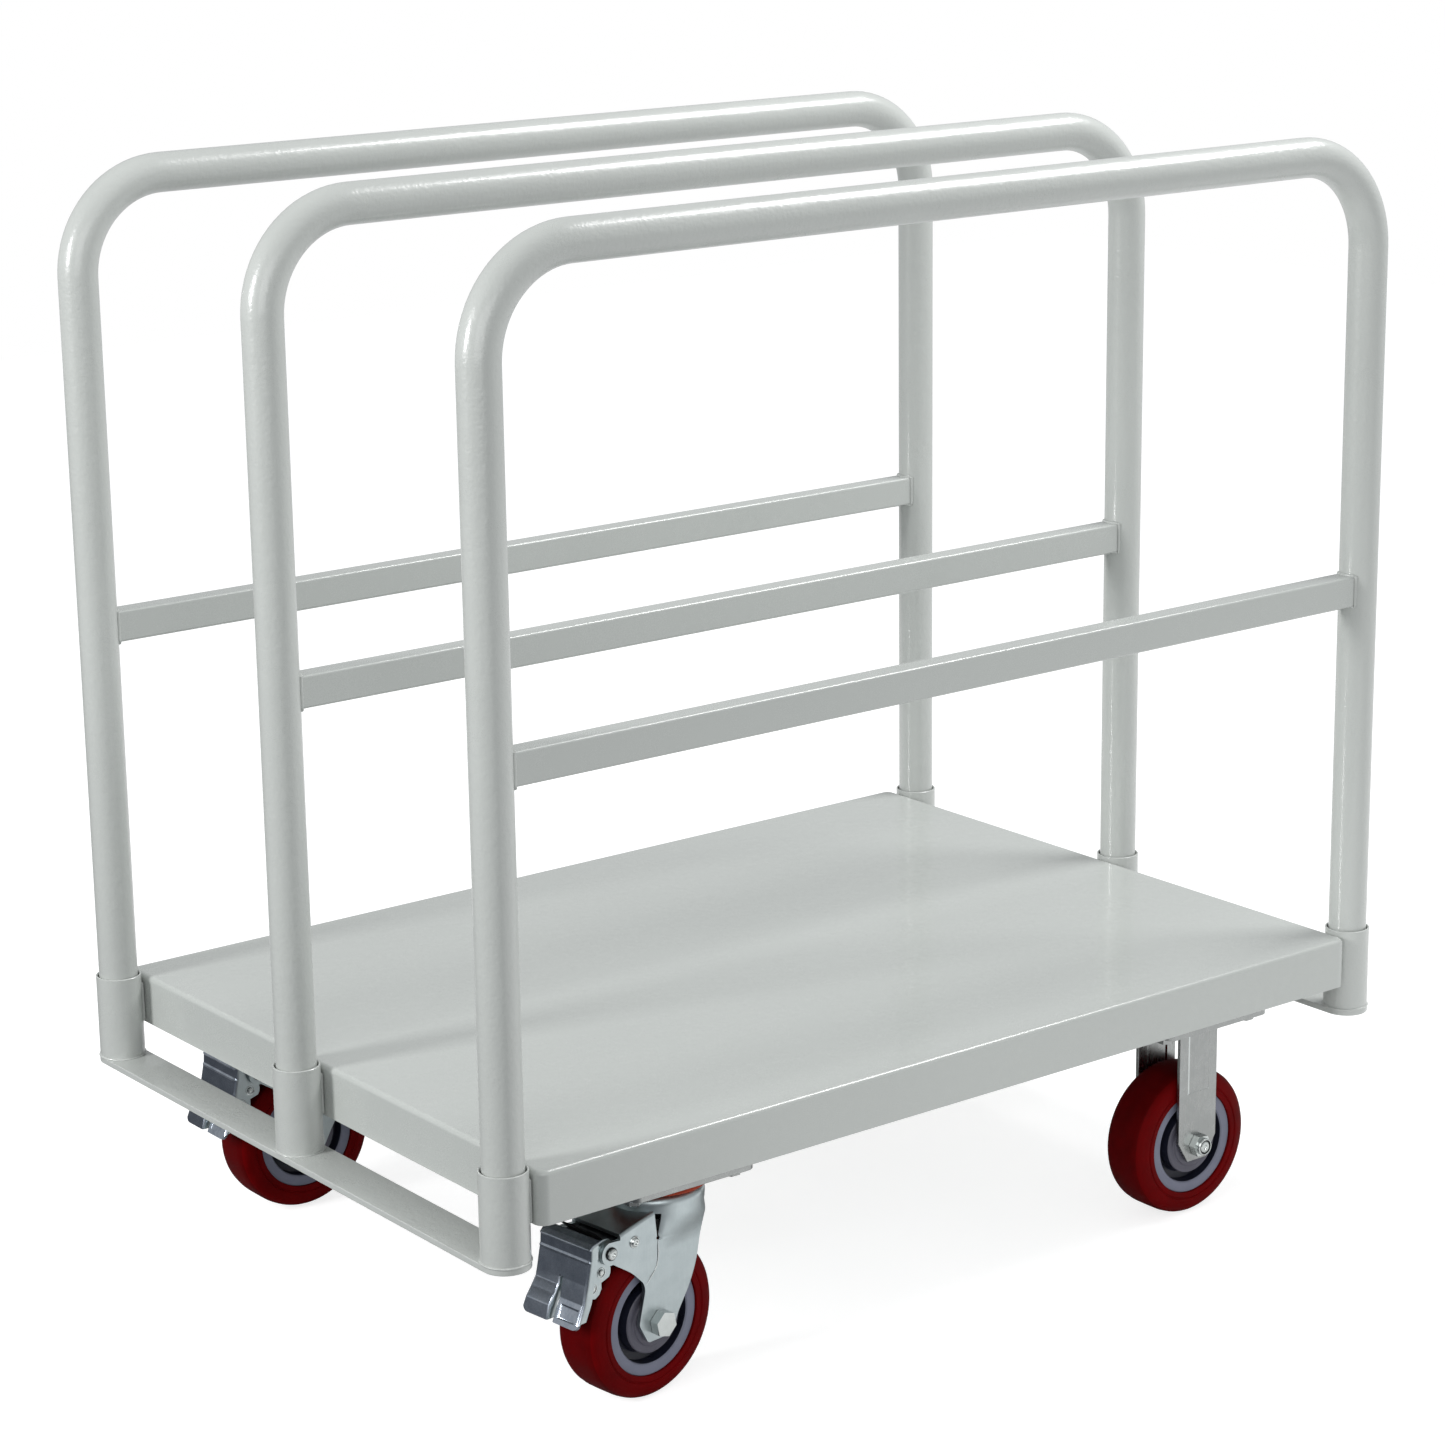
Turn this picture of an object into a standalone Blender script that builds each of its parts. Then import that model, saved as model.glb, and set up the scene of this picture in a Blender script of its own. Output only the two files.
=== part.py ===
"""Panel cart: a steel deck on four casters, with three lift-out hoops standing in sockets.

Metres, +Z up. +X runs along the deck to the rigid casters and +Y to the cart's left side.
The origin is on the floor under the middle of the deck.
"""

import math

import bmesh
import bpy
from mathutils import Matrix, Vector

# Fits and modelling allowances
GAP = 0.0003
MERGE_DISTANCE = 0.00001
OVERRUN = 0.012
UNIT = 1.0

# Deck pan
DECK_LENGTH = 0.834
DECK_WIDTH = 0.602
DECK_SHEET = 0.002
SKIRT_DEPTH = 0.042
DECK_CORNER_RADIUS = 0.009
DECK_EDGE_RADIUS = 0.004

# Folded channels under the deck: one across at each end, and a stiffener between them
CHANNEL_WIDTH = 0.126
CHANNEL_SHEET = 0.003
CHANNEL_FLANGE = 0.015
CHANNEL_BEND = 0.003
CHANNEL_DROP = 0.002
STIFFENER_WIDTH = 0.060
STIFFENER_DEPTH = 0.030

# Hoops
HOOP_TUBE_RADIUS = 0.016
HOOP_TUBE_WALL = 0.0015
HOOP_INSET = 0.018
HOOP_RISE = 0.6613
HOOP_BEND_RADIUS = 0.078
RAIL_RISE = 0.312
RAIL_HEIGHT = 0.026
RAIL_DEPTH = 0.019
RAIL_WALL = 0.0015

# Sockets and tie bars
SOCKET_RADIUS = 0.019
SOCKET_WALL = 0.0015
SOCKET_STAND = 0.003
SOCKET_REACH = 0.025
TIE_BAR_THICKNESS = 0.005

# Wheels
WHEEL_RADIUS = 0.0635
TREAD_WIDTH = 0.038
TREAD_FLAT_WIDTH = 0.024
SHOULDER_DROP = 0.002
SHOULDER_WIDTH = 0.0045
TYRE_SIDE_DROP = 0.0095
CORE_RADIUS = 0.0445
RIM_WIDTH = 0.0345
RIM_DEPTH = 0.0082
DISH_WIDTH = 0.018
DISH_SLOPE = 0.003
HUB_RADIUS = 0.0270
HUB_NOSE_RADIUS = 0.0200
HUB_WIDTH = 0.043
HUB_STEP_WIDTH = 0.039
SLEEVE_RADIUS = 0.008
SLEEVE_WALL = 0.0025
AXLE_RADIUS = 0.005
AXLE_HOLE_PLAY = 0.0003
AXLE_HEAD_FLATS = 0.018
AXLE_NUT_FLATS = 0.017
AXLE_HEAD_HEIGHT = 0.008
AXLE_NUT_HEIGHT = 0.0065
AXLE_NUT_COLLAR = 0.0035
AXLE_NUT_COLLAR_RADIUS = 0.0075
AXLE_TIP = 0.0125

# Caster plates and their bolts
CASTER_INSET_X = 0.144
CASTER_INSET_Y = 0.056
PLATE_LENGTH = 0.114
PLATE_WIDTH = 0.102
PLATE_THICKNESS = 0.0045
PLATE_CORNER_RADIUS = 0.008
BOLT_SPACING_X = 0.092
BOLT_SPACING_Y = 0.067
BOLT_RADIUS = 0.004
BOLT_HOLE_PLAY = 0.001
BOLT_HEAD_FLATS = 0.013
BOLT_HEAD_HEIGHT = 0.0053
BOLT_NUT_HEIGHT = 0.008
SEAT_OVERLAP = 0.0002

# Caster forks
FORK_GAP_WIDTH = 0.046
FORK_SHEET = 0.0035
CROWN_CLEARANCE = 0.023
CROWN_RISE = 0.0145
CROWN_RADIUS = 0.037
CROWN_FLAT_RADIUS = 0.031
CROWN_RIM_RADIUS = 0.0365
CROWN_RIM_RISE = 0.0005
CROWN_RIM_SHARE = 0.62
RACE_HEIGHT = 0.009
RACE_OUTER_RADIUS = 0.031
RACE_INNER_RADIUS = 0.013
BOSS_RADIUS = 0.034
BOSS_HEIGHT = 0.004
SEAL_RADIUS = 0.040
SEAL_WALL = 0.0055
SEAL_LIP = 0.0015
KINGPIN_RADIUS = 0.008
KINGPIN_PLAY = 0.0004
KINGPIN_HEAD_RADIUS = 0.013
KINGPIN_HEAD_HEIGHT = 0.0240
KINGPIN_RECESS = 0.0005

# Swivel fork seen from the side, around its kingpin and its axle
TRAIL = 0.024
FORK_FRONT = 0.024
FORK_KNEE_DROP = 0.009
FORK_WAIST_FRONT = 0.0395
FORK_WAIST_RISE = 0.038
FORK_SHIN_FRONT = 0.0325
FORK_SHIN_RISE = 0.0215
LEG_HALF_WIDTH = 0.0205
LEG_SHOULDER_RISE = 0.003
LEG_TIP_HALF_WIDTH = 0.0118
LEG_TIP_DROP = 0.0135
LEG_BACK_RISE = 0.033
LEG_BACK_HALF_WIDTH = 0.0128
ARCH_REACH = 0.0268
ARCH_RISE = 0.0475
ROOF_FRONT = 0.027
ROOF_FRONT_RISE = 0.003
ROOF_REACH = 0.062
ROOF_REAR_DROP = 0.005
ROOF_BEND = 0.003
CHEEK_STEP_DROP = 0.0045
CHEEK_LOBE_RADIUS = 0.0092
NOTCH_DEPTH = 0.0219
NOTCH_REACH = 0.024
RELIEF_RADIUS = 0.0016
FLARE_DROP = 0.032
LEG_RING_ANGLES = (127.5, 112.5, 97.5, 82.5, 67.5, 52.5)
CROWN_START_ANGLE = 7.5
STOP_PIN_REACH = 0.048
STOP_PIN_RISE = 0.0715
STOP_PIN_RADIUS = 0.0035
STOP_PIN_HEAD_RADIUS = 0.0048
STOP_PIN_HEAD_HEIGHT = 0.0022

# Brake
PEDAL_PIN_STANDOFF = 0.0204
PEDAL_PIN_ANGLE = 124.5
PEDAL_PIN_RADIUS = 0.0038
PEDAL_PIN_PLAY = 0.0003
PEDAL_PIN_HEAD_RADIUS = 0.0052
PEDAL_PIN_HEAD_HEIGHT = 0.0025
LINK_PIN_STANDOFF = 0.0142
LINK_PIN_ANGLES = (134.6, 144.6)
LINK_PIN_RADIUS = 0.0032
LINK_PIN_HEAD_RADIUS = 0.0045
LINK_SHEET = 0.0025
LINK_PIVOT_LOBE = 0.0090
LINK_UPPER_LOBE = 0.0095
LINK_LOWER_LOBE = 0.0090
PRESS_ANGLE = 8.0
SHOE_LOCKED_GAP = 0.0012
SHOE_WIDTH = 0.034
SHOE_ANGLES = (127.0, 152.0)
PEDAL_WIDTH = 0.057
PEDAL_SHEET = 0.0024
PEDAL_DROP = 0.050
PEDAL_FLANGE = 0.0075
PEDAL_BEND = 0.0028
PEDAL_SLOT_WIDTH = 0.004
PEDAL_PAD_BORDER = 0.0035
PEDAL_PAD_RISE = 0.0012

# The pedal's outer face from its top edge down, as shares of its drop below the pin
PEDAL_FACE_SHARES = ((-0.250, 0.290), (-0.385, 0.262), (-0.442, 0.190), (-0.455, 0.030),
                     (-0.475, -0.010), (-0.520, -0.290), (-0.580, -0.570))
PEDAL_LEFT_LEAF_SHARES = ((-0.700, -0.700), (-0.790, -0.900), (-0.750, -0.970))
PEDAL_RIGHT_LEAF_SHARES = ((-0.610, -0.680), (-0.760, -0.960), (-0.745, -1.000))

# The link's web behind the pedal, as shares of the pedal's drop
LINK_WEB_SHARES = ((-0.245, 0.205), (-0.394, -0.030), (-0.455, -0.300), (-0.525, -0.590))
LINK_TOP_SHARE = 0.150
LINK_FOOT_SHARES = (-0.350, -0.640)

# Rigid yoke seen from the side
YOKE_HALF_WIDTH = 0.0215
YOKE_TIP_HALF_WIDTH = 0.0100
YOKE_SHOULDER_RISE = 0.002
YOKE_TIP_DROP = 0.016
YOKE_BEND = 0.004
YOKE_PANEL_WIDTH = 0.024
YOKE_PANEL_DEPTH = 0.0010
YOKE_PANEL_RISE = 0.047
YOKE_PANEL_TOP_DROP = 0.010

# How far each swivel caster is turned about its kingpin
SWIVEL_HEADINGS = {"right": 7.0, "left": 0.0}

# The rigid casters' axle bolts go in from the cart's left side, so their lock nuts face right
RIGID_AXLE_HEADING = 180.0

# Facet counts
TUBE_SIDES_STEPS = 6
TUBE_BORE_STEPS = 2
BEND_STEPS = 5
SOCKET_STEPS = 16
WHEEL_STEPS = 24
CORE_STEPS = 16
RING_STEPS = 18
CROWN_STEPS = 24
FLARE_ROWS = 2
ROUND_STEPS = 10
SMALL_STEPS = 8
HEX_STEPS = 6
ARC_STEPS = 4
CORNER_STEPS = 3
EDGE_STEPS = 2

# Places worked out from the deck's size
HOOP_PITCH = DECK_WIDTH / 2 - HOOP_INSET
CASTER_X = DECK_LENGTH / 2 - CASTER_INSET_X
CASTER_Y = DECK_WIDTH / 2 - CASTER_INSET_Y

# Levels worked out from the wheels up
AXLE_Z = WHEEL_RADIUS
CROWN_LOW = WHEEL_RADIUS + WHEEL_RADIUS + CROWN_CLEARANCE
CROWN_TOP = CROWN_LOW + CROWN_RISE
RIM_TOP = CROWN_LOW + CROWN_RISE * CROWN_RIM_SHARE
RIM_BOTTOM = CROWN_LOW + CROWN_RIM_RISE
ROOF_TOP = CROWN_LOW + ROOF_FRONT_RISE
ROOF_REAR = CROWN_LOW - ROOF_REAR_DROP
NOTCH_FOOT = ROOF_TOP - NOTCH_DEPTH
FLARE_FOOT = CROWN_LOW - FLARE_DROP
PLATE_BOTTOM = CROWN_TOP + RACE_HEIGHT
PLATE_TOP = PLATE_BOTTOM + PLATE_THICKNESS
SKIRT_BOTTOM = PLATE_TOP + CHANNEL_DROP
DECK_TOP = SKIRT_BOTTOM + SKIRT_DEPTH
SOCKET_TOP = DECK_TOP + SOCKET_STAND
TIE_BAR_TOP = SKIRT_BOTTOM - SOCKET_REACH
SOCKET_X = DECK_LENGTH / 2 + GAP + SOCKET_RADIUS
HOOP_BAR_Z = DECK_TOP + HOOP_RISE
FORK_HALF_GAP = FORK_GAP_WIDTH / 2
FORK_HALF_WIDTH = FORK_HALF_GAP + FORK_SHEET

SIDES = {"left": 1, "right": -1}
HOOPS = {"left": 1, "middle": 0, "right": -1}
ENDS = {"swivel_end": -1, "rigid_end": 1}

# Finishes: base colour, roughness and metallic share
FINISHES = {
    "paint": ((0.52, 0.56, 0.54), 0.45, 0.0),
    "zinc": ((0.62, 0.68, 0.70), 0.35, 0.9),
    "dark_zinc": ((0.30, 0.34, 0.40), 0.30, 0.9),
    "steel": ((0.55, 0.56, 0.57), 0.40, 1.0),
    "red_tyre": ((0.22, 0.008, 0.012), 0.45, 0.0),
    "grey_plastic": ((0.20, 0.21, 0.27), 0.50, 0.0),
    "seal": ((0.50, 0.06, 0.02), 0.55, 0.0),
    "brake_rubber": ((0.03, 0.03, 0.03), 0.80, 0.0),
}


def clear_scene():
    """Remove every object, and the collections that a run of this file made before."""
    for item in list(bpy.data.objects):
        bpy.data.objects.remove(item, do_unlink=True)
    for collection in list(bpy.data.collections):
        bpy.data.collections.remove(collection)


def new_collection(name):
    """Return a new collection linked under the scene's own."""
    collection = bpy.data.collections.new(name)
    bpy.context.scene.collection.children.link(collection)
    return collection


def add_finish(item, finish):
    """Give an object its own Principled material in one of the named finishes."""
    colour, roughness, metallic = FINISHES[finish]
    material = bpy.data.materials.new(item.name + "_" + finish)
    material.use_nodes = True
    shader = material.node_tree.nodes["Principled BSDF"]
    shader.inputs["Base Color"].default_value = (*colour, UNIT)
    shader.inputs["Roughness"].default_value = roughness
    shader.inputs["Metallic"].default_value = metallic
    item.data.materials.append(material)


def add_object(name, mesh, parent, finish=None):
    """Link a mesh as a part, or as a hidden cutter when it has no finish."""
    item = bpy.data.objects.new(name, mesh)
    if finish is None:
        CUTTERS.objects.link(item)
        item.hide_render = True
        item.display_type = "WIRE"
    else:
        PARTS.objects.link(item)
        add_finish(item, finish)
    item.parent = parent
    return item


def add_empty(name, location, parent=None, heading=0.0):
    """Add an empty that stands on a joint's axis, turned about Z by its heading in degrees."""
    empty = bpy.data.objects.new(name, None)
    PARTS.objects.link(empty)
    empty.location = location
    empty.rotation_euler.z = math.radians(heading)
    empty.parent = parent
    return empty


def as_mesh(bm, name):
    """Write a bmesh into a new mesh and free it."""
    mesh = bpy.data.meshes.new(name)
    bm.to_mesh(mesh)
    bm.free()
    return mesh


def boolean(item, other, operation):
    """Cut an object by another one, or join the other one to it."""
    modifier = item.modifiers.new(operation.lower() + "_" + other.name, "BOOLEAN")
    modifier.object = other
    modifier.operation = operation
    modifier.solver = "EXACT"


def cut(item, *cutters):
    """Subtract each cutter from an object."""
    for cutter in cutters:
        boolean(item, cutter, "DIFFERENCE")


def join(item, *others):
    """Fuse each of the other solids to an object."""
    for other in others:
        boolean(item, other, "UNION")


def box(name, low, high, parent, finish=None):
    """Return a rectangular block between two corners."""
    bm = bmesh.new()
    bmesh.ops.create_cube(bm, size=UNIT)
    low, high = Vector(low), Vector(high)
    bmesh.ops.scale(bm, vec=high - low, verts=bm.verts)
    bmesh.ops.translate(bm, vec=(low + high) / 2, verts=bm.verts)
    return add_object(name, as_mesh(bm, name), parent, finish)


def turned(name, profile, steps, parent, finish=None, closed=False, axis="Z"):
    """Return a turned solid: a profile of (radius, height) points swept round an axis.

    The profile runs down its outer side. A closed profile is a ring's section, and an open
    one starts and ends on the axis. A flat facet, not a corner, faces straight down when the
    axis lies along Y.
    """
    start = math.pi / steps
    bm = bmesh.new()
    points = [bm.verts.new((radius * math.cos(start), radius * math.sin(start), height))
              for radius, height in profile]
    for first, second in zip(points, points[1:]):
        bm.edges.new((first, second))
    if closed:
        bm.edges.new((points[-1], points[0]))
    item = add_object(name, as_mesh(bm, name), parent, finish)
    if axis == "Y":
        item.rotation_euler.x = math.pi / 2
    screw = item.modifiers.new("turn", "SCREW")
    screw.steps = steps
    screw.render_steps = steps
    screw.use_merge_vertices = True
    screw.merge_threshold = MERGE_DISTANCE
    screw.use_smooth_shade = steps > HEX_STEPS
    return item


def cylinder(name, radius, low, high, steps, parent, finish=None, axis="Z"):
    """Return a plain round bar between two heights along its axis."""
    profile = ((0, high), (radius, high), (radius, low), (0, low))
    return turned(name, profile, steps, parent, finish, axis=axis)


def ring(name, inner, outer, low, high, steps, parent, finish=None, axis="Z"):
    """Return a plain round tube between two heights along its axis."""
    profile = ((outer, high), (outer, low), (inner, low), (inner, high))
    return turned(name, profile, steps, parent, finish, closed=True, axis=axis)


def across_flats(flats):
    """Return the corner radius of a hexagon of a given width across its flats."""
    return flats / 2 / math.cos(math.pi / HEX_STEPS)


def around_facets(radius, steps):
    """Return the corner radius whose flat facets lie at a given radius."""
    return radius / math.cos(math.pi / steps)


def arc(centre, radius, first, last, steps):
    """Return points round a centre from one angle to another, in degrees."""
    angles = [math.radians(first + (last - first) * i / steps) for i in range(steps + 1)]
    return [(centre[0] + radius * math.cos(a), centre[1] + radius * math.sin(a)) for a in angles]


def outline_solid(name, outline, low, high, parent, finish=None, plane="XZ"):
    """Return a flat outline given a thickness, as a mesh.

    The outline lies in the XZ plane and the thickness runs along Y, or in the XY plane with
    the thickness along Z.
    """
    curve = bpy.data.curves.new(name, "CURVE")
    curve.dimensions = "2D"
    curve.fill_mode = "BOTH"
    curve.extrude = (high - low) / 2
    spline = curve.splines.new("POLY")
    spline.points.add(len(outline) - 1)
    for point, (x, y) in zip(spline.points, outline):
        point.co = (x, y, 0, UNIT)
    spline.use_cyclic_u = True
    holder = bpy.data.objects.new(name + "_outline", curve)
    bpy.context.scene.collection.objects.link(holder)
    bpy.context.view_layer.update()
    evaluated = holder.evaluated_get(bpy.context.evaluated_depsgraph_get())
    mesh = bpy.data.meshes.new_from_object(evaluated)
    bpy.data.objects.remove(holder, do_unlink=True)
    mesh.transform(Matrix.Translation((0, 0, (low + high) / 2)))
    if plane == "XZ":
        mesh.transform(Matrix.Rotation(math.pi / 2, 4, "X") @ Matrix.Scale(-1, 4, (0, 0, 1)))
    bm = bmesh.new()
    bm.from_mesh(mesh)
    bmesh.ops.remove_doubles(bm, verts=bm.verts, dist=MERGE_DISTANCE)
    bmesh.ops.recalc_face_normals(bm, faces=bm.faces)
    bm.to_mesh(mesh)
    bm.free()
    mesh.name = name
    return add_object(name, mesh, parent, finish)


def rounded_rectangle(length, width, radius, steps):
    """Return the outline of a rectangle with round corners, centred on zero."""
    x, y = length / 2 - radius, width / 2 - radius
    return (arc((x, y), radius, 0, 90, steps) + arc((-x, y), radius, 90, 180, steps)
            + arc((-x, -y), radius, 180, 270, steps) + arc((x, -y), radius, 270, 360, steps))


def tube_along(name, points, radius, sides_steps, parent, finish=None):
    """Return a round bar along a run of points, with closed ends, as a mesh."""
    curve = bpy.data.curves.new(name, "CURVE")
    curve.dimensions = "3D"
    curve.bevel_depth = radius
    curve.bevel_resolution = sides_steps
    curve.use_fill_caps = True
    spline = curve.splines.new("POLY")
    spline.points.add(len(points) - 1)
    for point, place in zip(spline.points, points):
        point.co = (*place, UNIT)
    holder = bpy.data.objects.new(name + "_path", curve)
    bpy.context.scene.collection.objects.link(holder)
    bpy.context.view_layer.update()
    evaluated = holder.evaluated_get(bpy.context.evaluated_depsgraph_get())
    mesh = bpy.data.meshes.new_from_object(evaluated)
    bpy.data.objects.remove(holder, do_unlink=True)
    bm = bmesh.new()
    bm.from_mesh(mesh)
    bmesh.ops.remove_doubles(bm, verts=bm.verts, dist=MERGE_DISTANCE)
    bmesh.ops.recalc_face_normals(bm, faces=bm.faces)
    bm.to_mesh(mesh)
    bm.free()
    mesh.name = name
    item = add_object(name, mesh, parent, finish)
    item.data.shade_smooth()
    return item


def make_deck_pan():
    """Fold the deck: a five-sided pan whose corners and top edges are rounded."""
    bm = bmesh.new()
    bmesh.ops.create_cube(bm, size=UNIT)
    bmesh.ops.scale(bm, vec=(DECK_LENGTH, DECK_WIDTH, SKIRT_DEPTH), verts=bm.verts)
    bmesh.ops.translate(bm, vec=(0, 0, DECK_TOP - SKIRT_DEPTH / 2), verts=bm.verts)
    floor = [face for face in bm.faces if face.normal.z < -0.5]
    bmesh.ops.delete(bm, geom=floor, context="FACES")
    uprights = [edge for edge in bm.edges
                if abs(edge.verts[0].co.z - edge.verts[1].co.z) > SKIRT_DEPTH / 2]
    bmesh.ops.bevel(bm, geom=uprights, offset=DECK_CORNER_RADIUS, segments=ARC_STEPS,
                    profile=0.5, affect="EDGES", material=-1)
    middle = DECK_TOP - SKIRT_DEPTH / 2
    rim = [edge for edge in bm.edges
           if min(vert.co.z for vert in edge.verts) > middle and len(edge.link_faces) == 2]
    bmesh.ops.bevel(bm, geom=rim, offset=DECK_EDGE_RADIUS, segments=CORNER_STEPS,
                    profile=0.5, affect="EDGES", material=-1)
    deck = add_object("deck_pan", as_mesh(bm, "deck_pan"), None, "paint")
    sheet = deck.modifiers.new("sheet", "SOLIDIFY")
    sheet.thickness = DECK_SHEET
    sheet.offset = -1
    sheet.use_even_offset = True


def folded_channel(name, width, bottom, reach):
    """Fold a channel along Y under the deck: a web, two sides and a flange out from each."""
    top = DECK_TOP - DECK_SHEET - GAP - CHANNEL_SHEET
    half, flange = width / 2, width / 2 + CHANNEL_FLANGE
    section = ((-flange, top), (-half, top), (-half, bottom), (half, bottom), (half, top), (flange, top))
    bm = bmesh.new()
    points = [bm.verts.new((x, -reach, z)) for x, z in section]
    edges = [bm.edges.new(pair) for pair in zip(points, points[1:])]
    swept = bmesh.ops.extrude_edge_only(bm, edges=edges)
    ends = [item for item in swept["geom"] if isinstance(item, bmesh.types.BMVert)]
    bmesh.ops.translate(bm, vec=(0, reach + reach, 0), verts=ends)
    web = min(bm.faces, key=lambda face: face.calc_center_median().z)
    web.normal_update()
    if web.normal.z > 0:
        bmesh.ops.reverse_faces(bm, faces=bm.faces)
    channel = add_object(name, as_mesh(bm, name), None, "paint")
    bend = channel.modifiers.new("bends", "BEVEL")
    bend.width = CHANNEL_BEND
    bend.segments = EDGE_STEPS
    bend.limit_method = "ANGLE"
    sheet = channel.modifiers.new("sheet", "SOLIDIFY")
    sheet.thickness = CHANNEL_SHEET
    sheet.offset = -1
    sheet.use_even_offset = True
    return channel


def make_cross_channel(end, sign):
    """Make the channel under one end of the deck, with a hole for each caster bolt."""
    name = "cross_channel_" + end
    bottom = PLATE_TOP + GAP
    channel = folded_channel(name, CHANNEL_WIDTH, bottom, DECK_WIDTH / 2 - DECK_EDGE_RADIUS - GAP)
    channel.location.x = sign * CASTER_X
    for side, side_sign in SIDES.items():
        for number, (x, y) in enumerate(bolt_places()):
            hole = cylinder(f"{name}_hole_{side}_{number}", BOLT_RADIUS + BOLT_HOLE_PLAY, bottom - OVERRUN,
                            bottom + OVERRUN, SMALL_STEPS, None)
            hole.location = (channel.location.x + x, side_sign * CASTER_Y + y, 0)
            cut(channel, hole)


def make_stiffener():
    """Make the channel that runs along the middle of the deck between the other two."""
    reach = CASTER_X - CHANNEL_WIDTH / 2 - CHANNEL_FLANGE - GAP
    stiffener = folded_channel("centre_stiffener", STIFFENER_WIDTH, DECK_TOP - STIFFENER_DEPTH, reach)
    stiffener.rotation_euler.z = math.pi / 2


def bolt_places():
    """Return the four bolt places of a caster plate, round its centre."""
    x, y = BOLT_SPACING_X / 2, BOLT_SPACING_Y / 2
    return ((-x, -y), (x, -y), (x, y), (-x, y))


def make_socket(end, end_sign, hoop, hoop_sign):
    """Make one socket tube: it stands on its tie bar and touches the deck's end."""
    name = f"socket_{end}_{hoop}"
    socket = ring(name, SOCKET_RADIUS - SOCKET_WALL, SOCKET_RADIUS, TIE_BAR_TOP + GAP, SOCKET_TOP,
                  SOCKET_STEPS, None, "paint")
    socket.location = (end_sign * SOCKET_X, hoop_sign * HOOP_PITCH, 0)


def make_tie_bar(end, sign):
    """Make the flat bar with round ends that closes the sockets of one end from below."""
    reach, radius = HOOP_PITCH, SOCKET_RADIUS
    outline = (arc((0, reach), radius, 0, 180, HEX_STEPS) + arc((0, -reach), radius, 180, 360, HEX_STEPS))
    bar = outline_solid("tie_bar_" + end, outline, TIE_BAR_TOP - TIE_BAR_THICKNESS, TIE_BAR_TOP, None,
                        "paint", plane="XY")
    bar.location.x = sign * SOCKET_X


def hoop_path(overrun):
    """Return the centre line of a hoop round its two bends, its feet lengthened by overrun."""
    foot = TIE_BAR_TOP + GAP - overrun
    bend_x, bend_z = SOCKET_X - HOOP_BEND_RADIUS, HOOP_BAR_Z - HOOP_BEND_RADIUS
    crossing = arc((-bend_x, bend_z), HOOP_BEND_RADIUS, 180, 90, BEND_STEPS)
    crossing += arc((bend_x, bend_z), HOOP_BEND_RADIUS, 90, 0, BEND_STEPS)
    return [(-SOCKET_X, 0, foot)] + [(x, 0, z) for x, z in crossing] + [(SOCKET_X, 0, foot)]


def make_hoop(hoop, sign):
    """Bend one hoop's tube and weld its rectangular rail between the legs."""
    holder = add_empty("hoop_lift_" + hoop, (0, sign * HOOP_PITCH, 0))
    tube = tube_along("hoop_tube_" + hoop, hoop_path(0), HOOP_TUBE_RADIUS, TUBE_SIDES_STEPS, holder, "paint")
    bore = tube_along("hoop_bore_" + hoop, hoop_path(OVERRUN), HOOP_TUBE_RADIUS - HOOP_TUBE_WALL,
                      TUBE_BORE_STEPS, holder)
    cut(tube, bore)
    middle = DECK_TOP + RAIL_RISE - RAIL_HEIGHT / 2
    half_depth, half_height = RAIL_DEPTH / 2, RAIL_HEIGHT / 2
    rail = box("hoop_rail_" + hoop, (-SOCKET_X, -half_depth, middle - half_height),
               (SOCKET_X, half_depth, middle + half_height), holder, "paint")
    hollow = box("rail_bore_" + hoop,
                 (-SOCKET_X - OVERRUN, RAIL_WALL - half_depth, middle - half_height + RAIL_WALL),
                 (SOCKET_X + OVERRUN, half_depth - RAIL_WALL, middle + half_height - RAIL_WALL), holder)
    cut(rail, hollow)
    for end, end_sign in ENDS.items():
        cope = cylinder(f"rail_cope_{hoop}_{end}", around_facets(HOOP_TUBE_RADIUS + GAP, RING_STEPS),
                        middle - RAIL_HEIGHT, middle + RAIL_HEIGHT, RING_STEPS, holder)
        cope.location.x = end_sign * SOCKET_X
        cut(rail, cope)


def make_tyre(name, holder):
    """Make a tyre: a flat tread, sloped shoulders and straight sides round the core."""
    bore = around_facets(CORE_RADIUS + GAP, WHEEL_STEPS)
    half, flat = TREAD_WIDTH / 2, TREAD_FLAT_WIDTH / 2
    radii = [around_facets(radius, WHEEL_STEPS) for radius in
             (WHEEL_RADIUS, WHEEL_RADIUS - SHOULDER_DROP, WHEEL_RADIUS - TYRE_SIDE_DROP)]
    profile = ((radii[2], half), (radii[1], flat + SHOULDER_WIDTH), (radii[0], flat), (radii[0], -flat),
               (radii[1], -flat - SHOULDER_WIDTH), (radii[2], -half), (bore, -half), (bore, half))
    turned(name, profile, WHEEL_STEPS, holder, "red_tyre", closed=True, axis="Y")


def make_core(name, holder):
    """Make a wheel core: a broad rim, a sunk dish and a coned hub on each side."""
    rim, dish = RIM_WIDTH / 2, DISH_WIDTH / 2
    hub, step = HUB_WIDTH / 2, HUB_STEP_WIDTH / 2
    inner = CORE_RADIUS - RIM_DEPTH
    upper = ((HUB_NOSE_RADIUS, hub), (HUB_RADIUS, step), (HUB_RADIUS, dish), (inner - DISH_SLOPE, dish),
             (inner, rim), (CORE_RADIUS, rim))
    lower = tuple((radius, -height) for radius, height in reversed(upper))
    bore = SLEEVE_RADIUS + GAP
    profile = upper + lower + ((bore, -hub), (bore, hub))
    turned(name, profile, CORE_STEPS, holder, "grey_plastic", closed=True, axis="Y")


def make_wheel(label, holder):
    """Make one wheel round its axle: tyre, core and the bearing sleeve between the legs."""
    make_tyre("tyre_" + label, holder)
    make_core("wheel_core_" + label, holder)


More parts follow.
